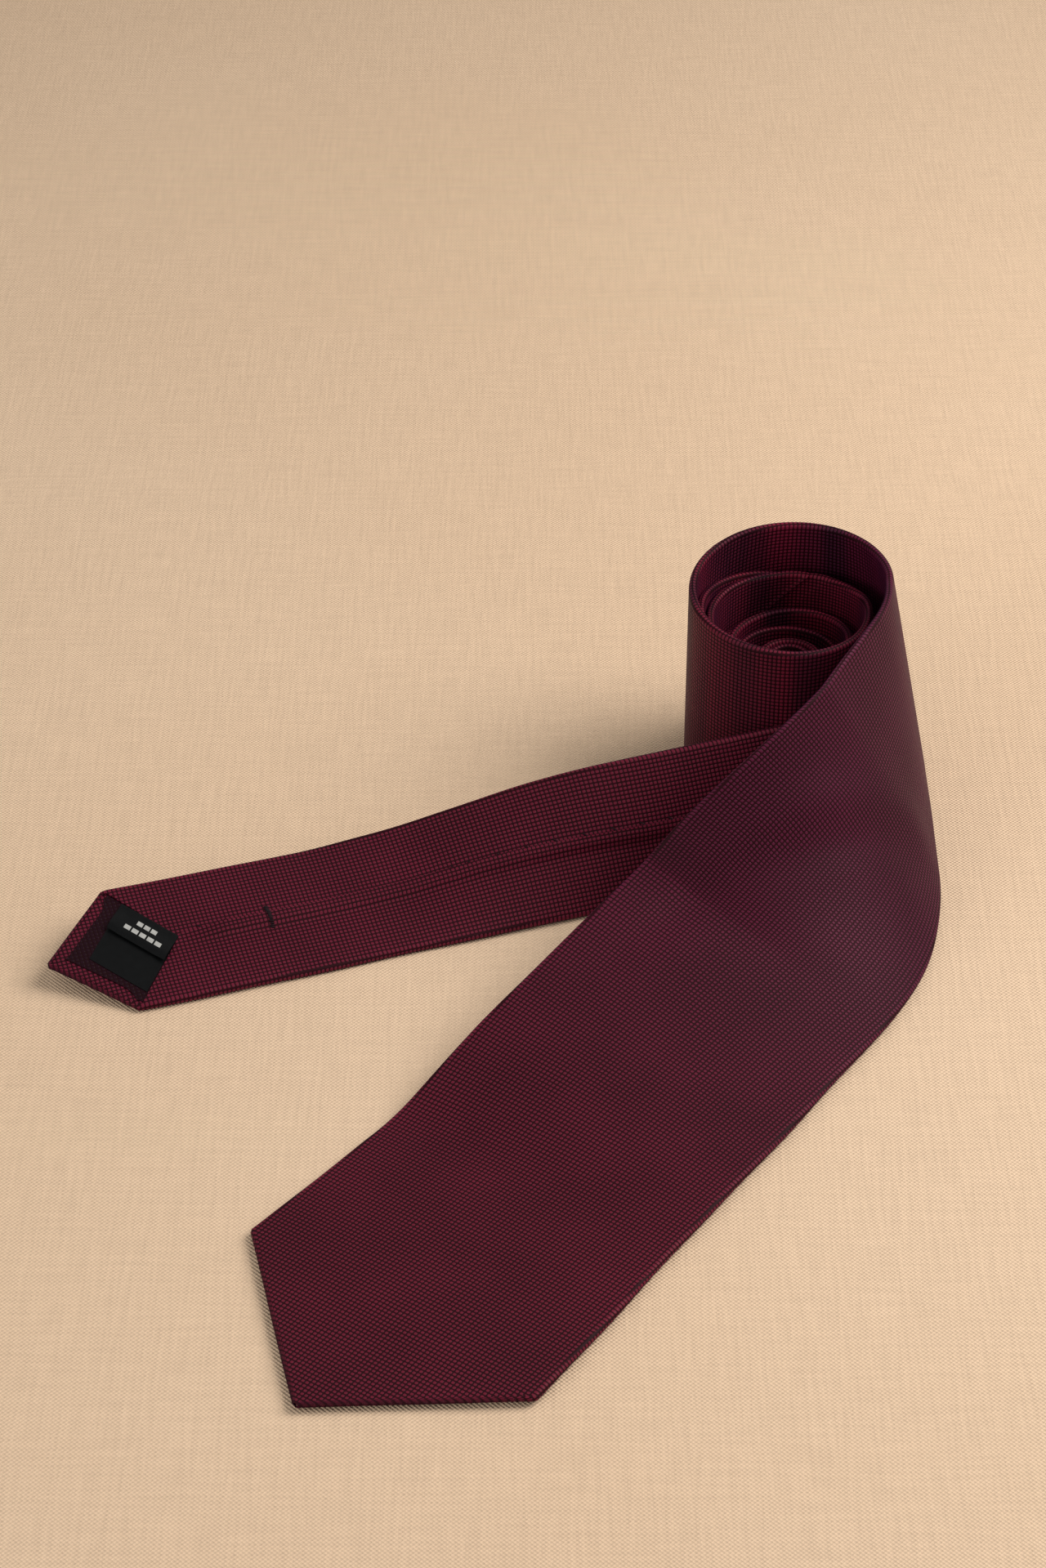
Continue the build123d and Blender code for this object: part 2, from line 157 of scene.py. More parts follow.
def station(x, y, heading, lean, width, lift=0.0):
    """Lower edge, direction of travel, direction across, width."""
    h, a = math.radians(heading), math.radians(lean)
    forward = np.array([math.cos(h), math.sin(h), 0.0])
    across = np.array([-math.sin(h) * math.cos(a), math.cos(h) * math.cos(a), math.sin(a)])
    corner = np.array([x, y, lift + abs(math.cos(a)) * BAND / 2])
    return corner, forward, across, width


def coil_radius(turn):
    """Radius to the middle of the wide band, some turns in from the rim."""
    whole = np.floor(turn)
    stepped = whole + smooth((turn - whole - STEP_IN_FROM) / (1 - STEP_IN_FROM))
    aside = 0.5 + 0.5 * np.cos(2 * math.pi * (turn - COIL_DROOP_TURN))
    loose = (COIL_EASE + COIL_DROOP * aside) * smooth((turn - LOOSE_FROM) / LOOSE_OVER)
    return COIL_RADIUS - BAND / 2 - 2 * BAND_PITCH * stepped - loose


def coil_length(turn, inwards=0.0):
    """Length of a band from the rim to a turn."""
    turns = (np.arange(COIL_SLICES) + 0.5) / COIL_SLICES * turn
    return float(np.sum(2 * math.pi * (coil_radius(turns) - inwards)) * turn / COIL_SLICES)


def coil_point(turn, inwards=0.0):
    """Place of the lower edge at a turn, and how far the base stands out there."""
    flare = BASE_FLARE * (1 + math.cos(2 * math.pi * turn)) / 2 if turn <= 0.5 else 0.0
    radius = float(coil_radius(turn)) - inwards + flare
    return radius * math.cos(2 * math.pi * turn), radius * math.sin(2 * math.pi * turn), flare


def coil_heading(turn, inwards=0.0):
    x0, y0, _ = coil_point(max(turn - 0.002, 0), inwards)
    x1, y1, _ = coil_point(turn + 0.002, inwards)
    return math.degrees(math.atan2(y1 - y0, x1 - x0))


def blade_width_at(from_shoulders):
    return max(NECK_WIDTH, BLADE_WIDTH - BLADE_TAPER * from_shoulders)


def tail_width_at(from_shoulders):
    return max(NECK_WIDTH, TAIL_WIDTH - TAIL_TAPER * from_shoulders)


def wide_coil_station(turn):
    x, y, flare = coil_point(turn)
    width = blade_width_at(BLADE_FREE + coil_length(turn))
    lean = math.degrees(math.acos(flare / width))
    return station(x, y, coil_heading(turn), lean, width, law(WIDE_LIFT, turn, LIFT_REACH))


def narrow_coil_station(turn):
    corner, forward, across, _ = wide_coil_station(turn)
    lift = law(NARROW_LIFT, turn, LIFT_REACH) - law(WIDE_LIFT, turn, LIFT_REACH)
    front = np.cross(forward, across)
    corner = corner + across * (lift / across[2]) - front * BAND_PITCH
    return corner, -forward, across, NECK_WIDTH


def blade_station(distance):
    x, y, _ = coil_point(0)
    legs = [(BLADE_LEG, 0), (BLADE_BEND_RADIUS * math.radians(BLADE_BEND), BLADE_BEND), (9e3, 0)]
    inside = min(distance, BLADE_FLAT)
    x, y, away = walk(x, y, -90, legs, inside)
    width = blade_width_at(BLADE_FREE - distance) if distance < BLADE_FREE else BLADE_WIDTH
    corner, forward, across, _ = station(x, y, away + 180, law(BLADE_LEAN, inside), width)
    return corner - forward * (distance - inside), forward, across, width


def tail_station(distance):
    lift = EXIT_LIFT * (1 - float(smooth(distance / TAIL_LIFT_ENDS)))
    start = narrow_coil_station(0)[0]
    legs = [(TAIL_BEND_RADIUS * math.radians(TAIL_BEND), TAIL_BEND), (TAIL_LEG, 0),
            (TAIL_SECOND_RADIUS * math.radians(TAIL_SECOND_BEND), TAIL_SECOND_BEND), (9e3, 0)]
    inside = min(distance, TAIL_FLAT)
    x, y, away = walk(start[0], start[1], -90, legs, inside)
    width = tail_width_at(TAIL_FREE - distance) if distance < TAIL_FREE else TAIL_WIDTH
    corner, forward, across, _ = station(x, y, away, 180 - law(TAIL_LEAN, inside), width, lift)
    return corner + forward * (distance - inside), forward, across, width


BLADE_LENGTH = BLADE_FREE + BLADE_POINT
WIDE_LENGTH = coil_length(COIL_TURNS)
FOLD_LENGTH = math.pi * BAND_PITCH / 2
NARROW_LENGTH = coil_length(COIL_TURNS, BAND_PITCH)
FOLD_START = BLADE_LENGTH + WIDE_LENGTH
TAIL_START = FOLD_START + FOLD_LENGTH + NARROW_LENGTH
TIE_LENGTH = TAIL_START + TAIL_FREE + TAIL_POINT


def on_blade(distance):
    """Travel from the blade's point, for a distance from the coil."""
    return BLADE_LENGTH - distance


def on_tail(distance):
    return TAIL_START + distance


def on_wide(turn):
    return BLADE_LENGTH + coil_length(turn)


def on_narrow(turn):
    return TAIL_START - coil_length(turn, BAND_PITCH)


BIAS_SEAMS = (on_wide(BLADE_SEAM_TURN), on_narrow(TAIL_SEAM_TURN))


def route():
    """The band's stations, close together, as arrays by travel from the blade's point."""
    rows = [(on_blade(d), blade_station(d)) for d in np.arange(BLADE_LENGTH, 0.5, -1.0)]
    count = int(COIL_TURNS * STATIONS_PER_TURN)
    for k in range(count + 1):
        turn = COIL_TURNS * k / count
        rows.append((on_wide(turn), wide_coil_station(turn)))
    x, y, _ = coil_point(COIL_TURNS, BAND_PITCH / 2)
    heading = coil_heading(COIL_TURNS)
    for way in range(10, 180, 10):
        outward = math.radians(heading + way - 90)
        place = (x + BAND_PITCH / 2 * math.cos(outward), y + BAND_PITCH / 2 * math.sin(outward))
        rows.append((FOLD_START + FOLD_LENGTH * way / 180,
                     station(*place, heading + way, 90, NECK_WIDTH, FOLD_LIFT)))
    for k in range(count + 1):
        turn = COIL_TURNS * (1 - k / count)
        rows.append((on_narrow(turn), narrow_coil_station(turn)))
    rows += [(on_tail(d), tail_station(d)) for d in np.arange(1.0, TAIL_FREE + TAIL_POINT + 1, 1.0)]
    return rows


class Band:
    """Places points by travel along the tie, across from its lower edge, and towards its front."""

    def __init__(self):
        rows = route()
        self.travel = np.array([r[0] for r in rows])
        corner, forward, across = (np.array([r[1][k] for r in rows]) for k in range(3))
        self.fields = np.hstack([corner, across, np.cross(forward, across)])
        self.widths = np.array([r[1][3] for r in rows])

    def width(self, travel):
        return np.interp(travel, self.travel, self.widths)

    def point(self, travel, x, y):
        cols = [np.interp(travel, self.travel, self.fields[:, k]) for k in range(9)]
        corner, across, front = (np.stack(cols[k:k + 3], -1) for k in (0, 3, 6))
        across /= np.linalg.norm(across, axis=-1, keepdims=True)
        front /= np.linalg.norm(front, axis=-1, keepdims=True)
        return corner + across * x[..., None] + front * y[..., None]


band = Band()


def window(value, low, high, soft):
    """1 between low and high, and smoothly 0 beyond soft outside them."""
    return smooth((value - low + soft) / soft) * (1 - smooth((value - high) / soft))


def edges(travel):
    """Lower and upper edge across the band, and how much a row across stretches their rounding."""
    width = band.width(travel)
    wide_share = np.clip((BLADE_POINT - travel) / BLADE_POINT, 0, 1)
    tail_share = np.clip((travel - on_tail(TAIL_FREE)) / TAIL_POINT, 0, 1)
    share = wide_share + tail_share
    slope = np.where(wide_share > 0, BLADE_WIDTH / 2 / BLADE_POINT, 0)
    slope = np.where(tail_share > 0, TAIL_WIDTH / 2 / TAIL_POINT, slope)
    low = share * width / 2
    wander = 0.16 * np.sin(travel / 13.0 + 1.1) + 0.1 * np.sin(travel / 5.7)
    calm = 1 - window(travel, on_wide(0.0), on_narrow(0.0), 20.0)
    return low + wander * calm, width - low + wander * calm * 0.6, np.hypot(1, slope)


def from_shoulders(travel):
    """Distance from the nearer shoulders towards the neck, negative on the points."""
    return np.minimum(travel - BLADE_POINT, on_tail(TAIL_FREE) - travel)


def settle(travel, x):
    """How far the cloth stands off its flat middle, towards the good side."""
    width = band.width(travel)
    u = x / width
    arch = 4 * u * (1 - u)
    tail_at = travel - TAIL_START
    tail_arch = TAIL_ARCH * window(tail_at, 50, 120, 35) * arch
    blade_at = BLADE_LENGTH - travel
    crown = BLADE_CROWN * window(blade_at, 30, 240, 30) * arch
    lying = BLADE_STAND * window(blade_at, 130, 400, 60)
    ripple = RIPPLE * np.sin(travel / 21.0 + 2.3 * u) * np.sin(travel / 33.0 + 1.0) * (
        window(blade_at, 20, 250, 20) + window(tail_at, 20, 190, 20))
    run = np.clip(x / CREASE_REACH, 0, 1.2)
    off = blade_at - CREASE_FROM_COIL - CREASE_RUN * run ** CREASE_CURVE
    steep = CREASE_RUN * CREASE_CURVE / CREASE_REACH * run ** (CREASE_CURVE - 1)
    off = off / np.hypot(1, steep)
    crease = CREASE_UP * np.exp(-(off / 7.0) ** 2)
    crease = crease - CREASE_DOWN * np.exp(-((off - 11.0) / 8.0) ** 2)
    crease = crease * smooth(x / 20.0) * (1 - smooth((x - 50.0) / 16.0))
    seam = 0.0
    for place in BIAS_SEAMS:
        off = travel - place
        seam = seam + SEAM_RIDGE * window(off, -5, 5, 1.5)
        seam = seam - SEAM_GROOVE * np.exp(-(off / 0.5) ** 2)
    return tail_arch + crown + lying + ripple + crease + seam


def bias(travel, x):
    """Rows slant near the bias seams, as the cut cloth does."""
    half = band.width(travel) / 2
    out = travel
    for place in BIAS_SEAMS:
        out = out - (x - half) * (1 - smooth(np.abs(travel - place) / 55.0))
    past_fold = np.clip((on_blade(BLADE_FLAT) - travel) / (BLADE_FREE - BLADE_FLAT), 0, 1)
    return out + BLADE_SKEW * past_fold * x / BLADE_WIDTH


# ---------------------------------------------------------------- meshes
def grid_faces(rows, cols, start=0, flip=False):
    i, j = np.meshgrid(np.arange(rows - 1), np.arange(cols - 1), indexing="ij")
    a = (start + i * cols + j).ravel()
    quads = np.stack([a, a + 1, a + cols + 1, a + cols], 1)
    return quads[:, ::-1] if flip else quads


def closed_sheet(outer, inner, uv_outer, uv_inner):
    """Two grids of points with their rims joined: points, quads, and a UV for each corner."""
    rows, cols = outer.shape[:2]
    count = rows * cols
    points = np.vstack([outer.reshape(-1, 3), inner.reshape(-1, 3)])
    uv = np.vstack([uv_outer.reshape(-1, 2), uv_inner.reshape(-1, 2)])
    index = np.arange(count).reshape(rows, cols)
    quads = [grid_faces(rows, cols), grid_faces(rows, cols, count, True)]
    for rim in (index[0], index[:, -1], index[-1, ::-1], index[::-1, 0]):
        quads.append(np.stack([rim[1:], rim[:-1], rim[:-1] + count, rim[1:] + count], 1))
    quads = np.vstack(quads)
    return points, quads, uv[quads]


def mesh_piece(name, parts, material, sharp=40.0):
    """One mesh object in metres from several closed sheets, facing outwards."""
    points, quads, uvs, start = [], [], [], 0
    for p, q, uv in parts:
        a, b, c = p[q[:, 0]], p[q[:, 1]], p[q[:, 2]]
        d = p[q[:, 3]]
        volume = np.einsum("ij,ij->i", a, np.cross(b, c)).sum()
        volume += np.einsum("ij,ij->i", a, np.cross(c, d)).sum()
        if volume < 0:
            q, uv = q[:, ::-1], uv[:, ::-1]
        points.append(p)
        quads.append(q + start)
        uvs.append(uv)
        start += len(p)
    points, quads, uvs = np.vstack(points) * MM, np.vstack(quads), np.vstack(uvs)
    points[:, 2] = np.maximum(points[:, 2], 0.00002)
    mesh = bpy.data.meshes.new(name)
    mesh.from_pydata(points.tolist(), [], quads.tolist())
    layer = mesh.uv_layers.new(name="weave")
    layer.uv.foreach_set("vector", uvs.astype(np.float32).ravel())
    mesh.polygons.foreach_set("use_smooth", [True] * len(mesh.polygons))
    mesh.set_sharp_from_angle(angle=math.radians(sharp))
    mesh.materials.append(material)
    piece = bpy.data.objects.new(name, mesh)
    bpy.context.scene.collection.objects.link(piece)
    return piece


def spaced(first, last, step):
    return np.linspace(first, last, max(2, int(abs(last - first) / step) + 1))


def lap_rise(travel):
    """How far one back flap stands over the other: tight in the coil, looser on the tail."""
    return 0.46 + 0.65 * smooth((travel - on_tail(15.0)) / 35.0)


def cloth_profile(travel, inset, sizes):
    """The folded cloth's path across each row: across, towards the good side, and pattern."""
    low, high, stretch = edges(travel)
    width = band.width(travel)
    middle = width / 2
    away = from_shoulders(travel)
    opening = np.where(travel < on_wide(0), BLADE_OPENING, TAIL_OPENING)
    half = sizes.band_thickness / MM / 2
    thin = smooth((3.0 - away) / 6.0)
    back = half * (1 - thin) + POINT_BACK * thin
    apex_share = np.clip(away / opening, 0, 1)
    reach_low = (middle + LAP_REACH) * apex_share
    reach_high = (middle + UNDERLAP_REACH) * apex_share
    lap = lap_rise(travel) * smooth((away - opening) / 12.0) + LAP_LEAST
    round_x = half * stretch - inset * stretch
    limit = np.maximum((high - low) / 2 - inset * stretch - 0.05, 0.1)
    round_x = np.minimum(np.maximum(round_x, 0.12), limit)
    x0, x1 = low + inset * stretch, high - inset * stretch
    x0, x1 = np.minimum(x0, middle - 0.2), np.maximum(x1, middle + 0.2)
    y_front, y_back = half - inset + 0 * low, -(back - inset)
    free_low = np.maximum(low + reach_low, x0 + round_x + 0.25)
    free_high = np.minimum(high - reach_high, x1 - round_x - 0.25)
    free_low = np.minimum(free_low, np.maximum(x1 - 0.1, x0 + round_x + 0.02))
    free_high = np.maximum(free_high, np.minimum(x0 + 0.1, x1 - round_x - 0.02))
    col = lambda value: value[:, None]
    flap = np.linspace(0, 1, sizes.flap_points)[None, :]
    turn = np.linspace(-math.pi / 2, math.pi / 2, 11)[None, 1:-1]
    across = np.linspace(0, 1, sizes.front_points)[None, :]
    mid_y, ry = col((y_front + y_back) / 2), col((y_front - y_back) / 2)
    xs, ys, us = [], [], []
    x = col(free_low) + (col(x0 + round_x) - col(free_low)) * flap
    rise = col(lap) * smooth((x - col(middle - LAP_START)) / LAP_RUN)
    xs.append(x)
    ys.append(col(y_back) - rise)
    us.append(-x)
    xs.append(col(x0 + round_x) - col(round_x) * np.cos(turn))
    ys.append(mid_y + ry * np.sin(turn))
    us.append(col(x0 + round_x) * np.sin(turn) + 0 * xs[-1])
    x = col(x0 + round_x) + col(x1 - x0 - 2 * round_x) * across
    xs.append(x)
    ys.append(col(y_front) + 0 * x)
    us.append(x)
    xs.append(col(x1 - round_x) + col(round_x) * np.cos(turn))
    ys.append(mid_y - ry * np.sin(turn))
    us.append(col(x1 - round_x) + col(width - x1 + round_x) * (np.sin(turn) + 1))
    x = col(x1 - round_x) + (col(free_high) - col(x1 - round_x)) * flap
    xs.append(x)
    ys.append(col(y_back) + 0 * x)
    us.append(2 * col(width) - x)
    return np.hstack(xs), np.hstack(ys), np.hstack(us) - col(middle)


def cloth_part(travel, sizes):
    walls = []
    for inset in (0.0, sizes.cloth_thickness / MM):
        x, y, u = cloth_profile(travel, inset, sizes)
        t = bias(travel[:, None] + 0 * x, x)
        points = band.point(t, x, y + settle(travel[:, None] + 0 * x, x))
        walls += [points, np.stack([u, t], -1)]
    outer, uv_outer, inner, uv_inner = walls
    return closed_sheet(outer, inner, uv_outer, uv_inner)


def slab_part(travel, low, high, y_low, y_high, cols=13, swell=0.0):
    """A flat layer between two edges and two heights towards the good side."""
    share = np.linspace(0, 1, cols)[None, :]
    x = low[:, None] + (high - low)[:, None] * share
    t = bias(travel[:, None] + 0 * x, x)
    stand = settle(travel[:, None] + 0 * x, x)
    puff = swell * 4 * share * (1 - share)
    width = band.width(travel)[:, None]
    uv = np.stack([x - width / 2, t], -1)
    outer = band.point(t, x, y_high + stand + 0 * x)
    inner = band.point(t, x, y_low - puff + stand + 0 * x)
    return closed_sheet(outer, inner, uv, uv)


def hem_parts(travel, reach, sizes):
    """The cloth of a point, turned in over the canvas and mitred at the middle."""
    low, high, stretch = edges(travel)
    middle = (low + high) / 2
    deep = sizes.cloth_thickness / MM
    near = 0.75 * stretch
    far_low = np.minimum(low + reach * stretch, middle - 0.04)
    far_high = np.maximum(high - reach * stretch, middle + 0.04)
    near_low = np.minimum(low + near, middle - 0.08)
    near_high = np.maximum(high - near, middle + 0.08)
    inner = HEM_OUT + deep * 0.85
    return [slab_part(travel, near_low, far_low, HEM_OUT, inner, 7),
            slab_part(travel, far_high, near_high, HEM_OUT, inner, 7)]


# ---------------------------------------------------------------- sizes and colours
def length(name, description, default):
    return bpy.props.FloatProperty(name=name, description=description, default=default,
                                   min=0.0, unit="LENGTH", precision=5)


def colour(name, description, default):
    return bpy.props.FloatVectorProperty(name=name, description=description, default=default,
                                         subtype="COLOR", size=3, min=0.0, max=1.0)


class NecktieSizes(bpy.types.PropertyGroup):
    band_thickness: length("Band thickness", "Both walls and the canvas between them", 0.00194)
    cloth_thickness: length("Cloth thickness", "One layer of the outer cloth", 0.00033)
    row_step: length("Row spacing", "Distance between the mesh rows of the cloth", 0.001)
    weave_pitch: length("Weave pitch", "From one woven dot to the next", 0.00104)
    stitch_length: length("Stitch length", "One slip stitch of the back seam", 0.0026)
    stitch_pitch: length("Stitch pitch", "From one slip stitch to the next", 0.007)
    thread_width: length("Thread width", "Of the sewing thread", 0.00032)
    hem_depth: length("Hem depth", "Cloth turned in at the tail's point", 0.0065)
    front_points: bpy.props.IntProperty(name="Points across the front", default=44, min=8,
                                        description="Mesh points across the good side")
    flap_points: bpy.props.IntProperty(name="Points across a flap", default=20, min=6,
                                       description="Mesh points across each back flap")


class NecktieColours(bpy.types.PropertyGroup):
    ground: colour("Ground", "Between the woven dots", (0.017, 0.0008, 0.0035))
    dots: colour("Dots", "The raised woven dots", (0.130, 0.011, 0.027))
    shot: colour("Shot thread", "The crossing thread seen at a slant", (0.16, 0.06, 0.30))
    tipping: colour("Tipping", "Lining of the two points", (0.014, 0.0022, 0.0065))
    canvas: colour("Canvas", "Wool canvas between the two walls", (0.56, 0.49, 0.38))
    thread: colour("Thread", "Sewing thread", (0.008, 0.003, 0.005))
    label: colour("Label", "Satin of the care label", (0.0022, 0.0026, 0.003))
    label_bars: colour("Label bars", "Woven bars on the care label", (0.42, 0.43, 0.42))
    floor: colour("Floor", "Pale cloth under the tie", (0.78, 0.59, 0.42))


class NecktieStage(bpy.types.PropertyGroup):
    lens: bpy.props.FloatProperty(name="Lens", description="Focal length in millimetres",
                                  default=85.0, min=10.0, subtype="DISTANCE_CAMERA")
    key: bpy.props.FloatProperty(name="Key light", description="Power of the right light",
                                 default=9.4, min=0.0, subtype="POWER")
    fill: bpy.props.FloatProperty(name="Fill light", description="Power of the left light",
                                  default=3.7, min=0.0, subtype="POWER")
    surround: bpy.props.FloatProperty(name="Surround", description="Strength of the room's light",
                                      default=0.42, min=0.0)


# ---------------------------------------------------------------- shader groups
def socket(tree, name, kind, default=None, out=False):
    made = tree.interface.new_socket(name=name, in_out="OUTPUT" if out else "INPUT",
                                     socket_type="NodeSocket" + kind)
    if default is not None:
        made.default_value = default
    return made


class Nodes:
    """Short calls for building one node tree."""

    def __init__(self, tree):
        self.tree = tree

    def add(self, kind, **values):
        node = self.tree.nodes.new(kind)
        for name, value in values.items():
            setattr(node, name, value)
        return node

    def link(self, source, target):
        self.tree.links.new(source, target)

    def feed(self, target, value):
        if hasattr(value, "node"):
            self.link(value, target)
        else:
            target.default_value = value

    def math(self, operation, *values, clamp=False):
        node = self.add("ShaderNodeMath", operation=operation, use_clamp=clamp)
        for place, value in zip(node.inputs, values):
            self.feed(place, value)
        return node.outputs[0]

    def vector(self, operation, *values):
        node = self.add("ShaderNodeVectorMath", operation=operation)
        for place, value in zip(node.inputs, values):
            self.feed(place, value)
        return node.outputs[0]

    def ramp(self, value, low, high, to_low=0.0, to_high=1.0):
        node = self.add("ShaderNodeMapRange", interpolation_type="SMOOTHSTEP")
        for place, part in zip(node.inputs, (value, low, high, to_low, to_high)):
            self.feed(place, part)
        return node.outputs[0]

    def mix(self, share, first, second):
        node = self.add("ShaderNodeMix", data_type="RGBA")
        self.feed(node.inputs[0], share)
        self.feed(node.inputs[6], first)
        self.feed(node.inputs[7], second)
        return node.outputs[2]

    def noise(self, vector, scale, detail=2.0, channels=False):
        node = self.add("ShaderNodeTexNoise")
        self.feed(node.inputs["Vector"], vector)
        node.inputs["Scale"].default_value = scale
        node.inputs["Detail"].default_value = detail
        return node.outputs[1 if channels else 0]

    def group(self, tree, **values):
        node = self.add("ShaderNodeGroup")
        node.node_tree = tree
        for name, value in values.items():
            self.feed(node.inputs[name.replace("_", " ")], value)
        return node.outputs


def rgba(value):
    return (*value, 1.0)


def dotted_weave_group():
    """Raised dots of one thread over the dark ground of the other, on a square grid, with painted
    sheen: darker purple-blue dots laid on by travel, and light and dark streaks in the coil.
    """
    tree = bpy.data.node_groups.new("dotted_weave", "ShaderNodeTree")
    socket(tree, "Pattern", "Vector")
    socket(tree, "Pitch", "Float", 1.1)
    socket(tree, "Dot size", "Float", 0.36)
    socket(tree, "Shot dots", "Color", (0.07, 0.02, 0.04, 1.0))
    socket(tree, "Streaks", "Float", 3.0)
    socket(tree, "Ground", "Color", (0.02, 0.0, 0.01, 1.0))
    socket(tree, "Dots", "Color", (0.1, 0.03, 0.05, 1.0))
    socket(tree, "Colour", "Color", out=True)
    socket(tree, "Height", "Float", out=True)
    socket(tree, "Roughness", "Float", out=True)
    n = Nodes(tree)
    given = n.add("NodeGroupInput").outputs
    put = n.add("NodeGroupOutput").inputs
    slow = n.noise(given["Pattern"], 0.035, 3.0)
    waver = n.vector("SCALE", n.vector(
        "SUBTRACT", n.noise(given["Pattern"], 0.18, 2.0, True), (0.5, 0.5, 0.5)))
    waver.node.inputs["Scale"].default_value = 0.22
    place = n.vector("ADD", given["Pattern"], waver)
    split = n.add("ShaderNodeSeparateXYZ")
    n.link(place, split.inputs[0])
    shares = []
    for axis in ("X", "Y"):
        cells = n.math("DIVIDE", split.outputs[axis], given["Pitch"])
        shares.append(n.math("ABSOLUTE", n.math("SUBTRACT", n.math("FRACT", cells), 0.5)))
    powers = [n.math("POWER", share, 2.6) for share in shares]
    spread = n.math("POWER", n.math("ADD", *powers), 1 / 2.6)
    patchy = n.math("SUBTRACT", slow, 0.5)
    grown = n.math("MULTIPLY_ADD", patchy, 0.10, given["Dot size"])
    dot = n.ramp(n.math("SUBTRACT", spread, grown), -0.11, 0.09, 1.0, 0.0)
    fibre = n.noise(n.vector("MULTIPLY", given["Pattern"], (9.0, 2.0, 1.0)), 1.4, 2.0)
    shade = n.math("MULTIPLY_ADD", n.math("SUBTRACT", fibre, 0.5), 0.55, 1.0)
    # Painted sheen: light and dark streaks across the band, only in the coil, standing in for the
    # satin's slanting highlights.
    streak = n.noise(n.vector("MULTIPLY", given["Pattern"], (0.006, 0.075, 1.0)), 1.0, 2.0)
    along = n.add("ShaderNodeSeparateXYZ")
    n.link(given["Pattern"], along.inputs[0])
    travel = along.outputs["Y"]
    coiled = n.math("MULTIPLY", n.ramp(travel, on_wide(0.0) - 30, on_wide(0.1)),
                    n.ramp(travel, on_narrow(0.1), on_narrow(0.0) + 40, 1.0, 0.0))
    painted_sheen = n.math("MULTIPLY_ADD", n.math("MULTIPLY", n.math("SUBTRACT", streak, 0.5), coiled),
                   given["Streaks"], 1.0)
    # Painted sheen: by travel the dots turn darker and purple-blue, none near the blade's point,
    # fully on the blade near the coil and 0.15 from early in the coil on, for the shot thread's
    # sheen seen at a slant.
    shot = n.math("MULTIPLY", n.ramp(travel, 60.0, 230.0),
                  n.ramp(travel, on_wide(0.05), on_wide(0.4), 1.0, 0.15))
    tone = n.math("MULTIPLY", shade, n.math("MULTIPLY_ADD", patchy, 0.35, 1.0))
    woven = n.mix(dot, given["Ground"], n.mix(shot, given["Dots"], given["Shot dots"]))
    # The painted sheen streaks scale red fully and green and blue less, so the dark streaks turn
    # bluish.
    cast = n.add("ShaderNodeCombineXYZ")
    n.link(painted_sheen, cast.inputs["X"])
    for axis in ("Y", "Z"):
        n.link(n.math("POWER", painted_sheen, 0.4), cast.inputs[axis])
    toned = n.vector("SCALE", n.vector("MULTIPLY", woven, cast.outputs[0]))
    n.link(tone, toned.node.inputs["Scale"])
    n.link(toned, put["Colour"])
    n.link(n.math("MULTIPLY_ADD", fibre, 0.12, dot), put["Height"])
    n.link(n.math("MULTIPLY_ADD", dot, -0.12, 0.56), put["Roughness"])
    return tree


def plain_weave_group():
    """Crossing threads with slubs, for linen, canvas and satin."""
    tree = bpy.data.node_groups.new("plain_weave", "ShaderNodeTree")
    socket(tree, "Pattern", "Vector")
    socket(tree, "Threads", "Float", 1.0)
    socket(tree, "Slubs", "Float", 0.5)
    socket(tree, "Light", "Color", (0.8, 0.7, 0.6, 1.0))
    socket(tree, "Dark", "Color", (0.6, 0.5, 0.4, 1.0))
    socket(tree, "Colour", "Color", out=True)
    socket(tree, "Height", "Float", out=True)
    n = Nodes(tree)
    given = n.add("NodeGroupInput").outputs
    put = n.add("NodeGroupOutput").inputs
    scaled = n.vector("SCALE", given["Pattern"])
    n.link(given["Threads"], scaled.node.inputs["Scale"])
    split = n.add("ShaderNodeSeparateXYZ")
    n.link(scaled, split.inputs[0])
    warp = n.math("SINE", n.math("MULTIPLY", split.outputs["X"], 2 * math.pi))
    weft = n.math("SINE", n.math("MULTIPLY", split.outputs["Y"], 2 * math.pi))
    over = n.math("MULTIPLY_ADD", n.math("MULTIPLY", warp, weft), 0.5, 0.5)
    long_x = n.noise(n.vector("MULTIPLY", scaled, (0.07, 0.9, 1.0)), 1.0, 3.0)
    long_y = n.noise(n.vector("MULTIPLY", scaled, (0.9, 0.07, 1.0)), 1.0, 3.0)
    slub = n.math("SUBTRACT", n.math("ADD", long_x, long_y), 1.0)
    share = n.math("MULTIPLY_ADD", n.math("MULTIPLY", slub, given["Slubs"]), 1.6, over, clamp=True)
    n.link(n.mix(share, given["Dark"], given["Light"]), put["Colour"])
    n.link(n.math("MULTIPLY_ADD", slub, 0.8, over), put["Height"])
    return tree


# ---------------------------------------------------------------- materials
def material(name, roughness=0.6, specular=0.3, sheen=0.0, sheen_tint=(1, 1, 1), sheen_rough=0.4):
    made = bpy.data.materials.new("necktie_" + name)
    made.use_nodes = True
    shader = made.node_tree.nodes["Principled BSDF"]
    shader.inputs["Roughness"].default_value = roughness
    shader.inputs["Specular IOR Level"].default_value = specular
    shader.inputs["Sheen Weight"].default_value = sheen
    shader.inputs["Sheen Tint"].default_value = rgba(sheen_tint)
    shader.inputs["Sheen Roughness"].default_value = sheen_rough
    return made, Nodes(made.node_tree), shader.inputs


def bump(n, inputs, height, distance, strength=1.0):
    node = n.add("ShaderNodeBump")
    node.inputs["Strength"].default_value = strength
    node.inputs["Distance"].default_value = distance
    n.link(height, node.inputs["Height"])
    n.link(node.outputs[0], inputs["Normal"])


def weave_map(n):
    return n.add("ShaderNodeUVMap", uv_map="weave").outputs[0]


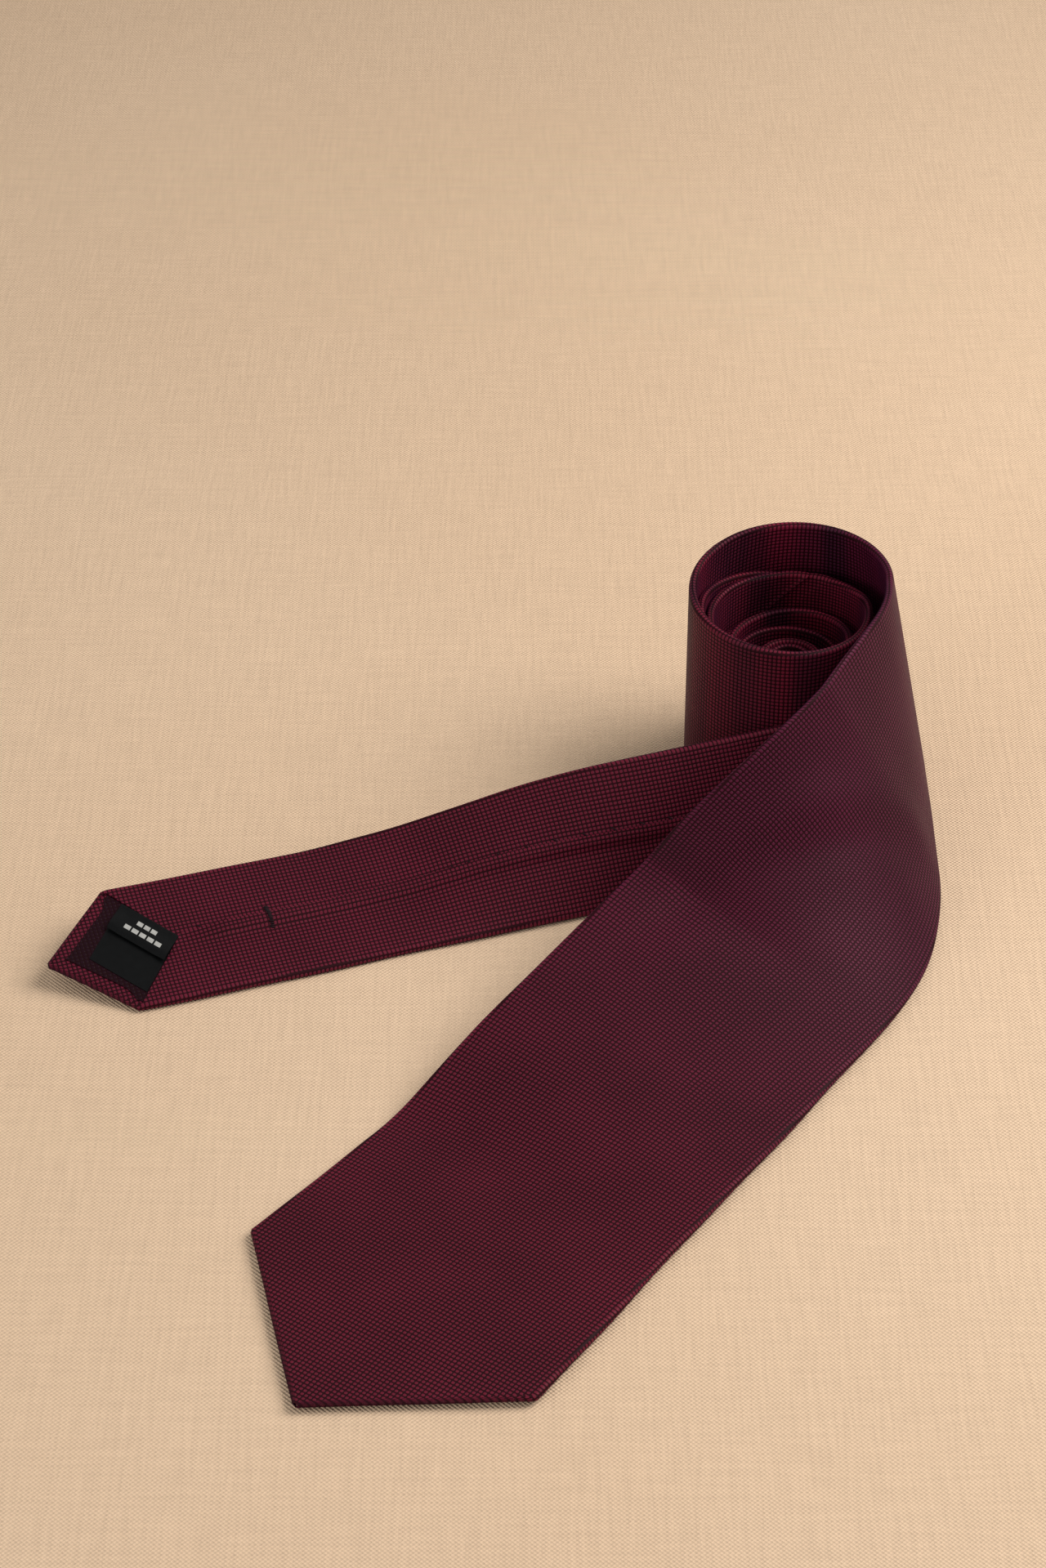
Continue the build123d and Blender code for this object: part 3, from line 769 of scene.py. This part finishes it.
def cloth_material(name, ground, dots, sizes, colours, relief=0.00014, sheen=0.1, size=0.36):
    made, n, inputs = material(name, 0.5, 0.09, sheen, colours.shot, 0.3)
    # The dots' painted sheen colour is the dot colour made darker and bluer.
    out = n.group(bpy.data.node_groups["dotted_weave"], Pattern=weave_map(n),
                  Pitch=sizes.weave_pitch / MM, Dot_size=size, Ground=rgba(ground),
                  Dots=rgba(dots), Shot_dots=rgba([c * k for c, k in zip(dots, (0.62, 0.8, 1.2))]))
    n.link(out["Colour"], inputs["Base Color"])
    n.link(out["Roughness"], inputs["Roughness"])
    bump(n, inputs, out["Height"], relief, 0.9)
    return made


def canvas_material(colours):
    made, n, inputs = material("wool_canvas", 0.9, 0.15, 0.2)
    dark = [c * 0.7 for c in colours.canvas]
    out = n.group(bpy.data.node_groups["plain_weave"], Pattern=weave_map(n), Threads=0.9,
                  Slubs=0.8, Light=rgba(colours.canvas), Dark=rgba(dark))
    n.link(out["Colour"], inputs["Base Color"])
    bump(n, inputs, out["Height"], 0.00012)
    return made


def thread_material(colours):
    made, n, inputs = material("sewing_thread", 0.6, 0.12, 0.02)
    place = n.add("ShaderNodeTexCoord").outputs["Object"]
    twist = n.noise(place, 5200.0, 2.0)
    light = [min(1.0, c * 2.2) for c in colours.thread]
    n.link(n.mix(twist, rgba(colours.thread), rgba(light)), inputs["Base Color"])
    bump(n, inputs, twist, 0.00005)
    return made


def label_material(colours):
    """Black satin with two rows of plain woven bars."""
    made, n, inputs = material("label_satin", 0.45, 0.12, 0.0, (0.6, 0.7, 0.75), 0.4)
    pattern = weave_map(n)
    split = n.add("ShaderNodeSeparateXYZ")
    n.link(pattern, split.inputs[0])
    along, down = split.outputs["X"], split.outputs["Y"]
    rib = n.math("SINE", n.math("MULTIPLY", down, 2 * math.pi / 0.22))
    cloud = n.noise(pattern, 0.5, 3.0)
    bars = None
    for middle, first, last, pitch in LABEL_BARS:
        inside = n.ramp(n.math("ABSOLUTE", n.math("SUBTRACT", down, middle)), 0.62, 0.72, 1.0, 0.0)
        reach = n.math("MULTIPLY", n.math("GREATER_THAN", along, first),
                       n.math("LESS_THAN", along, last))
        cell = n.math("ABSOLUTE", n.math("SUBTRACT", n.math("FRACT", n.math(
            "DIVIDE", n.math("SUBTRACT", along, first), pitch)), 0.5))
        dash = n.ramp(cell, 0.37, 0.41, 1.0, 0.0)
        mark = n.math("MULTIPLY", n.math("MULTIPLY", inside, reach), dash)
        bars = mark if bars is None else n.math("MAXIMUM", bars, mark)
    faded = n.math("MULTIPLY", bars, n.ramp(cloud, 0.2, 0.7, 0.75, 1.0))
    dark, light = (rgba([c * k for c in colours.label]) for k in (0.7, 2.0))
    cloudy = n.mix(cloud, dark, light)
    n.link(n.mix(faded, cloudy, rgba(colours.label_bars)), inputs["Base Color"])
    n.link(n.math("MULTIPLY_ADD", bars, 0.25, 0.36), inputs["Roughness"])
    bump(n, inputs, n.math("MULTIPLY_ADD", bars, 0.8, n.math("MULTIPLY", rib, 0.2)), 0.00004)
    return made


def floor_material(colours):
    made, n, inputs = material("pale_linen", 0.85, 0.2)
    place = n.add("ShaderNodeTexCoord").outputs["Object"]
    slow = n.noise(place, 3.0, 3.0)
    light = [min(1.0, c * 1.05) for c in colours.floor]
    dark = [c * 0.84 for c in colours.floor]
    out = n.group(bpy.data.node_groups["plain_weave"], Pattern=place, Threads=900.0, Slubs=0.5,
                  Light=rgba(light), Dark=rgba(dark))
    cast = n.mix(n.ramp(slow, 0.35, 0.7), (0.97, 0.95, 0.93, 1.0), (1.0, 1.0, 1.0, 1.0))
    n.link(n.vector("MULTIPLY", out["Colour"], cast), inputs["Base Color"])
    bump(n, inputs, out["Height"], 0.00025)
    return made


# ---------------------------------------------------------------- stitches
def stitch_tree():
    """A short thread on every point, laid along one vector with its back to another."""
    tree = bpy.data.node_groups.new("sewn_stitches", "GeometryNodeTree")
    socket(tree, "Points", "Geometry")
    socket(tree, "Length", "Float", 0.003)
    socket(tree, "Width", "Float", 0.0003)
    socket(tree, "Unevenness", "Float", 0.15)
    socket(tree, "Seed", "Int", 3)
    socket(tree, "Thread", "Material")
    socket(tree, "Stitches", "Geometry", out=True)
    n = Nodes(tree)
    given = n.add("NodeGroupInput").outputs
    put = n.add("NodeGroupOutput").inputs
    bead = n.add("GeometryNodeMeshUVSphere")
    bead.inputs["Segments"].default_value = 8
    bead.inputs["Rings"].default_value = 6
    bead.inputs["Radius"].default_value = 0.5
    lay = n.add("GeometryNodeTransform")
    lay.inputs["Rotation"].default_value = (0.0, math.pi / 2, 0.0)
    n.link(bead.outputs["Mesh"], lay.inputs["Geometry"])
    turn = None
    for name, axis, pivot in (("along", "X", "AUTO"), ("out", "Z", "X")):
        read = n.add("GeometryNodeInputNamedAttribute", data_type="FLOAT_VECTOR")
        read.inputs["Name"].default_value = name
        align = n.add("FunctionNodeAlignRotationToVector", axis=axis, pivot_axis=pivot)
        n.link(read.outputs[0], align.inputs["Vector"])
        if turn is not None:
            n.link(turn, align.inputs["Rotation"])
        turn = align.outputs[0]
    uneven = n.add("FunctionNodeRandomValue", data_type="FLOAT")
    values = {s.identifier: s for s in uneven.inputs}
    n.link(n.math("SUBTRACT", 1.0, given["Unevenness"]), values["Min_001"])
    n.link(n.math("ADD", 1.0, given["Unevenness"]), values["Max_001"])
    n.link(given["Seed"], values["Seed"])
    random_out = {s.identifier: s for s in uneven.outputs}["Value_001"]
    size = n.add("ShaderNodeCombineXYZ")
    n.link(n.math("MULTIPLY", given["Length"], random_out), size.inputs["X"])
    n.link(given["Width"], size.inputs["Y"])
    n.link(given["Width"], size.inputs["Z"])
    place = n.add("GeometryNodeInstanceOnPoints")
    n.link(given["Points"], place.inputs["Points"])
    n.link(lay.outputs[0], place.inputs["Instance"])
    n.link(turn, place.inputs["Rotation"])
    n.link(size.outputs[0], place.inputs["Scale"])
    real = n.add("GeometryNodeRealizeInstances")
    n.link(place.outputs[0], real.inputs[0])
    finish = n.add("GeometryNodeSetShadeSmooth")
    n.link(real.outputs[0], finish.inputs[0])
    paint = n.add("GeometryNodeSetMaterial")
    n.link(finish.outputs[0], paint.inputs["Geometry"])
    n.link(given["Thread"], paint.inputs["Material"])
    n.link(paint.outputs[0], put["Stitches"])
    return tree


def sewn(name, places, along, out, stitch_length, stitch_width, thread, seed, uneven=0.15):
    """A plain mesh of stitches from the Geometry Nodes tree, at points in millimetres."""
    guide = bpy.data.meshes.new(name + "_guide")
    guide.from_pydata((places * MM).tolist(), [], [])
    for key, value in (("along", along), ("out", out)):
        attribute = guide.attributes.new(key, "FLOAT_VECTOR", "POINT")
        attribute.data.foreach_set("vector", value.astype(np.float32).ravel())
    holder = bpy.data.objects.new(name + "_guide", guide)
    bpy.context.scene.collection.objects.link(holder)
    modifier = holder.modifiers.new("stitches", "NODES")
    modifier.node_group = bpy.data.node_groups["sewn_stitches"]
    ids = {s.name: s.identifier for s in modifier.node_group.interface.items_tree
           if s.item_type == "SOCKET" and s.in_out == "INPUT"}
    for key, value in (("Length", stitch_length), ("Width", stitch_width),
                       ("Unevenness", uneven), ("Seed", seed), ("Thread", thread)):
        modifier[ids[key]] = value
    graph = bpy.context.evaluated_depsgraph_get()
    mesh = bpy.data.meshes.new_from_object(holder.evaluated_get(graph))
    mesh.name = name
    bpy.data.objects.remove(holder)
    bpy.data.meshes.remove(guide)
    if not mesh.polygons:
        raise RuntimeError(f"{name} has no stitches")
    piece = bpy.data.objects.new(name, mesh)
    bpy.context.scene.collection.objects.link(piece)
    return piece


def frame_at(travel, x, y):
    """Points on the band with the directions along it, across it and out of its good side."""
    travel, x, y = (np.asarray(v, float) + 0 * travel for v in (travel, x, y))
    here = band.point(travel, x, y + settle(travel, x))
    along = band.point(travel + 0.5, x, y) - band.point(travel - 0.5, x, y)
    across = band.point(travel, x + 0.5, y) - band.point(travel, x - 0.5, y)
    out = band.point(travel, x, y + 0.5) - band.point(travel, x, y - 0.5)
    unit = lambda v: v / np.linalg.norm(v, axis=-1, keepdims=True)
    return here, unit(along), unit(across), unit(out)


# ---------------------------------------------------------------- joints and bodies
def place_of(travel, x=0.0, y=0.0):
    point = band.point(np.array([travel]), np.array([x]), np.array([y]))[0]
    return point * MM


def hinge(name):
    return Vector([j for j in frame["joints"] if j["name"] == name][0]["pos_m"])


def joint_span(name, far_travel):
    """Blend start on the joint's axis, and its end further along the band, level with it."""
    start = hinge(name)
    end = Vector(place_of(far_travel, float(band.width(far_travel)) / 2))
    end.z = start.z
    return start, end


BLENDS = {
    "blade_swing": ("coil", "blade", on_blade(54.0)),
    "blade_end_fold": ("blade", "blade_end", on_blade(BLADE_FLAT + 42.0)),
    "tail_swing": ("coil", "tail", on_tail(TAIL_CUT + 44.0)),
    "tail_end_fold": ("tail", "tail_end", on_tail(TAIL_FLAT + 26.0)),
}


def follow(piece, joint):
    """Leave a piece without a joint on the coil, or bake a jointed piece's transform into its mesh.
    """
    if joint is None:
        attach(piece, "coil")
        return piece
    first, second, far = BLENDS[joint]
    start, end = joint_span(joint, far)
    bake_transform(piece)
    return piece


def stands_for(piece, slot, *nodes):
    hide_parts(*nodes)
    return piece


def material_named(name):
    return bpy.data.materials["necktie_" + name]


# ---------------------------------------------------------------- operators
class NECKTIE_OT_materials(bpy.types.Operator):
    """Makes the finishes of every piece"""
    bl_idname = "necktie.materials"
    bl_label = "Finishes"

    def execute(self, context):
        sizes, colours = context.scene.necktie_sizes, context.scene.necktie_colours
        dotted_weave_group()
        plain_weave_group()
        cloth_material("dotted_cloth", colours.ground, colours.dots, sizes, colours)
        cloth_material("tipping_cloth", [c * 0.6 for c in colours.ground], colours.tipping,
                       sizes, colours, 0.0001, 0.08)
        canvas_material(colours)
        thread_material(colours)
        label_material(colours)
        floor_material(colours)
        stitch_tree()
        return {"FINISHED"}


class NECKTIE_OT_outer_cloth(bpy.types.Operator):
    """Makes the folded outer cloth: the blade, the neck and the tail"""
    bl_idname = "necktie.outer_cloth"
    bl_label = "Outer cloth"

    def execute(self, context):
        sizes = context.scene.necktie_sizes
        step = sizes.row_step / MM
        tip = 0.9
        cuts = [
            ("blade_point_cloth", tip, on_blade(BLADE_SPLIT), "blade_end_fold",
             ("blade_end_cloth",)),
            ("blade_neck_cloth", on_blade(BLADE_SPLIT), on_wide(0.0), "blade_swing",
             ("blade_cloth",)),
            ("coil_wide_cloth", on_wide(0.0), BIAS_SEAMS[0], None, ("coil_blade_cloth",)),
            ("neck_cloth", BIAS_SEAMS[0], BIAS_SEAMS[1], None, ("coil_neck_cloth",)),
            ("tail_neck_cloth", BIAS_SEAMS[1], on_tail(TAIL_SPLIT), "tail_swing",
             ("coil_tail_cloth", "tail_cloth")),
            ("tail_point_cloth", on_tail(TAIL_SPLIT), TIE_LENGTH - tip * 0.8, "tail_end_fold",
             ("tail_end_cloth",)),
        ]
        hem = sizes.hem_depth / MM
        for name, first, last, joint, nodes in cuts:
            travel = spaced(first, last, step)
            if first < FOLD_START < last:
                fine = np.linspace(FOLD_START - 1, FOLD_START + FOLD_LENGTH + 1, 24)
                travel = np.unique(np.concatenate([
                    travel[(travel < fine[0]) | (travel > fine[-1])], fine]))
            parts = [cloth_part(travel, sizes)]
            if name == "blade_point_cloth":
                parts += hem_parts(spaced(1.6, BLADE_POINT + 4.0, 0.6), BLADE_HEM, sizes)
            if name == "tail_point_cloth":
                rows = spaced(on_tail(TAIL_FREE - 3.0), TIE_LENGTH - 1.3, 0.5)
                parts += hem_parts(rows, hem, sizes)
            piece = mesh_piece(name, parts, material_named("dotted_cloth"), 55.0)
            follow(piece, joint)
            stands_for(piece, "dotted_cloth", *nodes)
        return {"FINISHED"}


class NECKTIE_OT_canvas(bpy.types.Operator):
    """Makes the wool canvas that the cloth is folded round"""
    bl_idname = "necktie.canvas"
    bl_label = "Canvas"

    def execute(self, context):
        cuts = [
            ("blade_point_canvas", 3.2, on_blade(BLADE_SPLIT), "blade_end_fold",
             ("blade_end_interlining",)),
            ("blade_neck_canvas", on_blade(BLADE_SPLIT), on_wide(0.0), "blade_swing",
             ("blade_interlining",)),
            ("coil_wide_canvas", on_wide(0.0), FOLD_START - 1.0, None,
             ("coil_blade_interlining",)),
            ("tail_neck_canvas", FOLD_START + FOLD_LENGTH + 1.0, on_tail(TAIL_SPLIT), "tail_swing",
             ("coil_tail_interlining",)),
            ("tail_point_canvas", on_tail(TAIL_SPLIT), TIE_LENGTH - 2.6, "tail_end_fold",
             ("tail_end_interlining", "tail_interlining")),
        ]
        for name, first, last, joint, nodes in cuts:
            travel = spaced(first, last, 1.5)
            low, high, stretch = edges(travel)
            part = slab_part(travel, low + stretch, high - stretch, CANVAS_OUT, CANVAS_IN, 31)
            piece = mesh_piece(name, [part], material_named("wool_canvas"))
            follow(piece, joint)
            stands_for(piece, "wool_canvas", *nodes)
        return {"FINISHED"}


class NECKTIE_OT_tippings(bpy.types.Operator):
    """Makes the linings of the two points"""
    bl_idname = "necktie.tippings"
    bl_label = "Tippings"

    def execute(self, context):
        for name, rows, inset, joint, node in (
                ("blade_point_tipping", spaced(9.6, BLADE_POINT + BLADE_OPENING + 12, 1.0), 7.0,
                 "blade_end_fold", "blade_tipping"),
                ("tail_point_tipping", spaced(on_tail(TAIL_FREE - TAIL_OPENING - 12),
                                              TIE_LENGTH - 5.0, 0.5), 3.6,
                 "tail_end_fold", "tail_tipping")):
            low, high, stretch = edges(rows)
            away = from_shoulders(rows)
            side = 1.2 + (inset * stretch - 1.2) * smooth((3.0 - away) / 5.0)
            part = slab_part(rows, low + side, np.maximum(high - side, low + side + 0.3),
                             LINING_OUT, LINING_IN, 25, 0.06)
            piece = mesh_piece(name, [part], material_named("tipping_cloth"))
            follow(piece, joint)
            stands_for(piece, "tipping_cloth", node)
        return {"FINISHED"}


class NECKTIE_OT_stitching(bpy.types.Operator):
    """Sews the back seam, the bar tacks and the keeper loop's tacks"""
    bl_idname = "necktie.stitching"
    bl_label = "Stitching"

    def execute(self, context):
        sizes = context.scene.necktie_sizes
        thread = material_named("sewing_thread")
        half = sizes.band_thickness / MM / 2
        pitch = sizes.stitch_pitch / MM
        seams = [
            ("blade_point_seam", BLADE_POINT + BLADE_OPENING + 3, on_blade(BLADE_SPLIT),
             "blade_end_fold", ("blade_end_slip_stitch",), 1),
            ("blade_neck_seam", on_blade(BLADE_SPLIT), on_blade(4.0), "blade_swing",
             ("blade_slip_stitch",), 2),
            ("tail_neck_seam", on_tail(4.0), on_tail(TAIL_SPLIT), "tail_swing",
             ("tail_slip_stitch",), 3),
            ("tail_point_seam", on_tail(TAIL_SPLIT), on_tail(TAIL_FREE - TAIL_OPENING - 1),
             "tail_end_fold", ("tail_end_slip_stitch",), 4),
        ]
        for name, first, last, joint, nodes, seed in seams:
            travel = np.arange(first + pitch / 2, last, pitch)
            x = band.width(travel) / 2 + SEAM_ASIDE
            here, along, across, out = frame_at(travel, x, -half - STITCH_STAND)
            slant = along * 0.75 + across * 0.66
            piece = sewn(name, here, slant, -out, sizes.stitch_length, sizes.thread_width,
                         thread, seed)
            follow(piece, joint)
            stands_for(piece, "sewing_thread", *nodes)
        for name, middle, joint, node, seed in (
                ("blade_tack", BLADE_POINT + TACK_FROM_SHOULDERS, "blade_end_fold",
                 "blade_bar_tack", 5),
                ("tail_tack", on_tail(TAIL_FREE - TACK_FROM_SHOULDERS), "tail_end_fold",
                 "tail_bar_tack", 6)):
            offsets = np.linspace(-TACK_HALF, TACK_HALF, 15)
            travel = middle + 0 * offsets
            x = band.width(travel) / 2 + offsets
            rise = (lap_rise(travel) + LAP_LEAST) * (offsets < LAP_REACH)
            rise = rise * smooth((offsets + LAP_START) / LAP_RUN)
            here, along, across, out = frame_at(travel, x, -half - STITCH_STAND - rise)
            piece = sewn(name, here, along * 0.97 + across * 0.25, -out, 0.0012,
                         sizes.thread_width * 1.7, thread, seed, 0.2)
            follow(piece, joint)
            stands_for(piece, "sewing_thread", node)
        places = []
        for side in (-1, 1):
            for row in np.linspace(-5.0, 5.0, 14):
                places.append((on_blade(LOOP_FROM_COIL + row), side * (LOOP_SPAN / 2 - 1.6)))
        travel, offset = np.array(places).T
        here, along, across, out = frame_at(travel, band.width(travel) / 2 + offset,
                                            -half - LOOP_STITCH_STAND)
        piece = sewn("keeper_loop_stitches", here, across * 0.95 + along * 0.3, -out, 0.0022,
                     sizes.thread_width * 1.3, thread, 7, 0.2)
        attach(piece, "blade")
        stands_for(piece, "sewing_thread", "keeper_loop_tacks")
        return {"FINISHED"}


class NECKTIE_OT_keeper_loop(bpy.types.Operator):
    """Makes the loop on the back of the blade that holds the tail"""
    bl_idname = "necktie.keeper_loop"
    bl_label = "Keeper loop"

    def execute(self, context):
        half = context.scene.necktie_sizes.band_thickness / MM / 2
        reach = np.linspace(-1, 1, 49)
        rows = np.linspace(-LOOP_BAND / 2, LOOP_BAND / 2, 17)
        travel = on_blade(LOOP_FROM_COIL) + rows[:, None] + 0 * reach[None, :]
        x = band.width(travel) / 2 + reach[None, :] * LOOP_SPAN / 2
        arch = LOOP_ARCH * smooth((1 - np.abs(reach)) / 0.3)[None, :]
        edge = np.clip(1 - (np.abs(rows) / (LOOP_BAND / 2)) ** 8, 0.02, 1)
        rim = LOOP_HALF * np.sqrt(edge)[:, None]
        end = np.sqrt(np.clip(1 - np.abs(reach) ** 40, 0.02, 1))[None, :]
        middle = -half - LOOP_STAND - arch + settle(travel, x)
        outer = band.point(travel, x, middle - rim * end)
        inner = band.point(travel, x, middle + rim * end)
        uv = np.stack([travel, x], -1)
        part = closed_sheet(outer, inner, uv, uv)
        piece = mesh_piece("keeper_loop_strap", [part], material_named("dotted_cloth"))
        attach(piece, "blade")
        stands_for(piece, "dotted_cloth", "keeper_loop")
        return {"FINISHED"}


class NECKTIE_OT_label(bpy.types.Operator):
    """Makes the folded satin label in the tail's opening"""
    bl_idname = "necktie.label"
    bl_label = "Care label"

    def execute(self, context):
        width = TAIL_WIDTH
        apex = np.array([(width - TAIL_TAPER * TAIL_OPENING) / 2, TAIL_OPENING])
        edge = np.array([width - apex[0], -TAIL_OPENING])
        edge /= np.linalg.norm(edge)
        inward = np.array([edge[1], -edge[0]])
        if inward[1] > 0:
            inward = -inward
        low_q = np.linspace(LABEL_DEPTH, LABEL_FOLD, 22)
        turn = np.linspace(-math.pi / 2, math.pi / 2, 9)[1:-1]
        high_q = np.linspace(LABEL_FOLD, LABEL_LEAF, 16)
        lift = np.concatenate([0.12 + 0 * low_q, 0.29 + 0.17 * np.sin(turn),
                               0.46 + 0.75 * smooth((high_q - 1.5) / 6.0)
                               - 0.45 * smooth((high_q - 7.4) / 1.6)])
        q = np.concatenate([low_q, LABEL_FOLD - 0.35 * np.cos(turn), high_q])
        p = np.linspace(LABEL_EDGE, LABEL_EDGE + LABEL_WIDTH, 25)
        run = np.concatenate([[0], np.cumsum(np.hypot(np.diff(q), np.diff(lift)))])
        lower_flap = np.array([-apex[0], -TAIL_OPENING])
        tuck = (q - LABEL_FOLD) * (lower_flap @ edge) / (lower_flap @ inward)
        corner_lift = 0.22 * smooth((np.abs(p - p.mean()) / 8.0 - 0.6) / 0.4)[None, :] * (
            smooth((np.arange(len(q)) - 30) / 14.0)[:, None])
        walls = []
        away = (np.arange(len(q)) >= len(low_q) + 4).astype(float) * 2 - 1
        for side in (1, -1):
            h = lift[:, None] + corner_lift + side * away[:, None] * LABEL_THICKNESS / 2
            place = p[None, :] + tuck[:, None]
            x = apex[0] + edge[0] * place + inward[0] * q[:, None]
            back = apex[1] + edge[1] * place + inward[1] * q[:, None]
            walls.append(band.point(on_tail(TAIL_FREE) - back, x, LINING_OUT - h))
        uv = np.stack([p[None, :] + 0 * q[:, None], (run - run[-1])[:, None] + 0 * p[None, :]], -1)
        piece = mesh_piece("care_label", [closed_sheet(*walls, uv, uv)],
                           material_named("label_satin"), 60.0)
        middle = (float(apex[0]), on_tail(TAIL_FREE) - float(apex[1]))
        start = place_of(middle[1], middle[0], LINING_OUT - 0.20)
        end = place_of(middle[1], middle[0], LINING_OUT - 0.40)
        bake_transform(piece)
        stands_for(piece, "label_satin", "label_lower_leaf", "label_upper_leaf")
        return {"FINISHED"}


def aim(thing, target):
    thing.rotation_euler = (Vector(target) - thing.location).to_track_quat("-Z", "Y").to_euler()


def area_light(name, place, target, size, power, tint):
    data = bpy.data.lights.new(name, "AREA")
    data.shape = "DISK"
    data.size = size
    data.energy = power
    data.color = tint
    light = bpy.data.objects.new(name, data)
    bpy.context.scene.collection.objects.link(light)
    light.location = place
    aim(light, target)
    return light


class NECKTIE_OT_stage(bpy.types.Operator):
    """Sets out the floor, the lights and the camera"""
    bl_idname = "necktie.stage"
    bl_label = "Stage"

    def execute(self, context):
        stage = context.scene.necktie_stage
        half = FLOOR_HALF
        mesh = bpy.data.meshes.new("floor")
        corners = [(-half, -half, 0), (half, -half, 0), (half, half, 0), (-half, half, 0)]
        mesh.from_pydata(corners, [], [(0, 1, 2, 3)])
        mesh.materials.append(material_named("pale_linen"))
        floor = bpy.data.objects.new("floor", mesh)
        context.scene.collection.objects.link(floor)
        area_light("key_light", KEY_PLACE, LIT_PLACE, KEY_SIZE, stage.key, (1.0, 0.94, 0.88))
        area_light("fill_light", FILL_PLACE, LIT_PLACE, FILL_SIZE, stage.fill, (1.0, 0.95, 0.9))
        world = bpy.data.worlds.new("room")
        context.scene.world = world
        world.use_nodes = True
        ambient = world.node_tree.nodes["Background"].inputs
        ambient["Color"].default_value = (1.0, 0.97, 0.93, 1.0)
        ambient["Strength"].default_value = stage.surround
        context.scene.view_settings.view_transform = "Standard"
        data = bpy.data.cameras.new("camera")
        data.lens = stage.lens
        data.sensor_width = SENSOR_WIDTH
        camera = bpy.data.objects.new("camera", data)
        context.scene.collection.objects.link(camera)
        camera.location = CAMERA_PLACE
        camera.rotation_euler = (math.radians(CAMERA_TILT), 0.0, 0.0)
        context.scene.camera = camera
        return {"FINISHED"}


STEPS = (NECKTIE_OT_materials, NECKTIE_OT_stage, NECKTIE_OT_outer_cloth, NECKTIE_OT_canvas,
         NECKTIE_OT_tippings, NECKTIE_OT_keeper_loop, NECKTIE_OT_stitching, NECKTIE_OT_label)


class NECKTIE_PT_panel(bpy.types.Panel):
    bl_idname = "NECKTIE_PT_panel"
    bl_label = "Necktie"
    bl_space_type = "VIEW_3D"
    bl_region_type = "UI"
    bl_category = "Necktie"

    def draw(self, context):
        for group in ("necktie_sizes", "necktie_colours", "necktie_stage"):
            values = getattr(context.scene, group)
            box = self.layout.box()
            for name in values.__annotations__:
                box.prop(values, name)
        for step in STEPS:
            self.layout.operator(step.bl_idname)


CLASSES = (NecktieSizes, NecktieColours, NecktieStage, *STEPS, NECKTIE_PT_panel)


def register():
    for item in CLASSES:
        bpy.utils.register_class(item)
    bpy.types.Scene.necktie_sizes = bpy.props.PointerProperty(type=NecktieSizes)
    bpy.types.Scene.necktie_colours = bpy.props.PointerProperty(type=NecktieColours)
    bpy.types.Scene.necktie_stage = bpy.props.PointerProperty(type=NecktieStage)


def unregister():
    for name in ("necktie_sizes", "necktie_colours", "necktie_stage"):
        delattr(bpy.types.Scene, name)
    for item in reversed(CLASSES):
        bpy.utils.unregister_class(item)


def main():
    register()
    for step in STEPS:
        group, call = step.bl_idname.split(".")
        getattr(getattr(bpy.ops, group), call)()


if __name__ == "__main__":
    main()
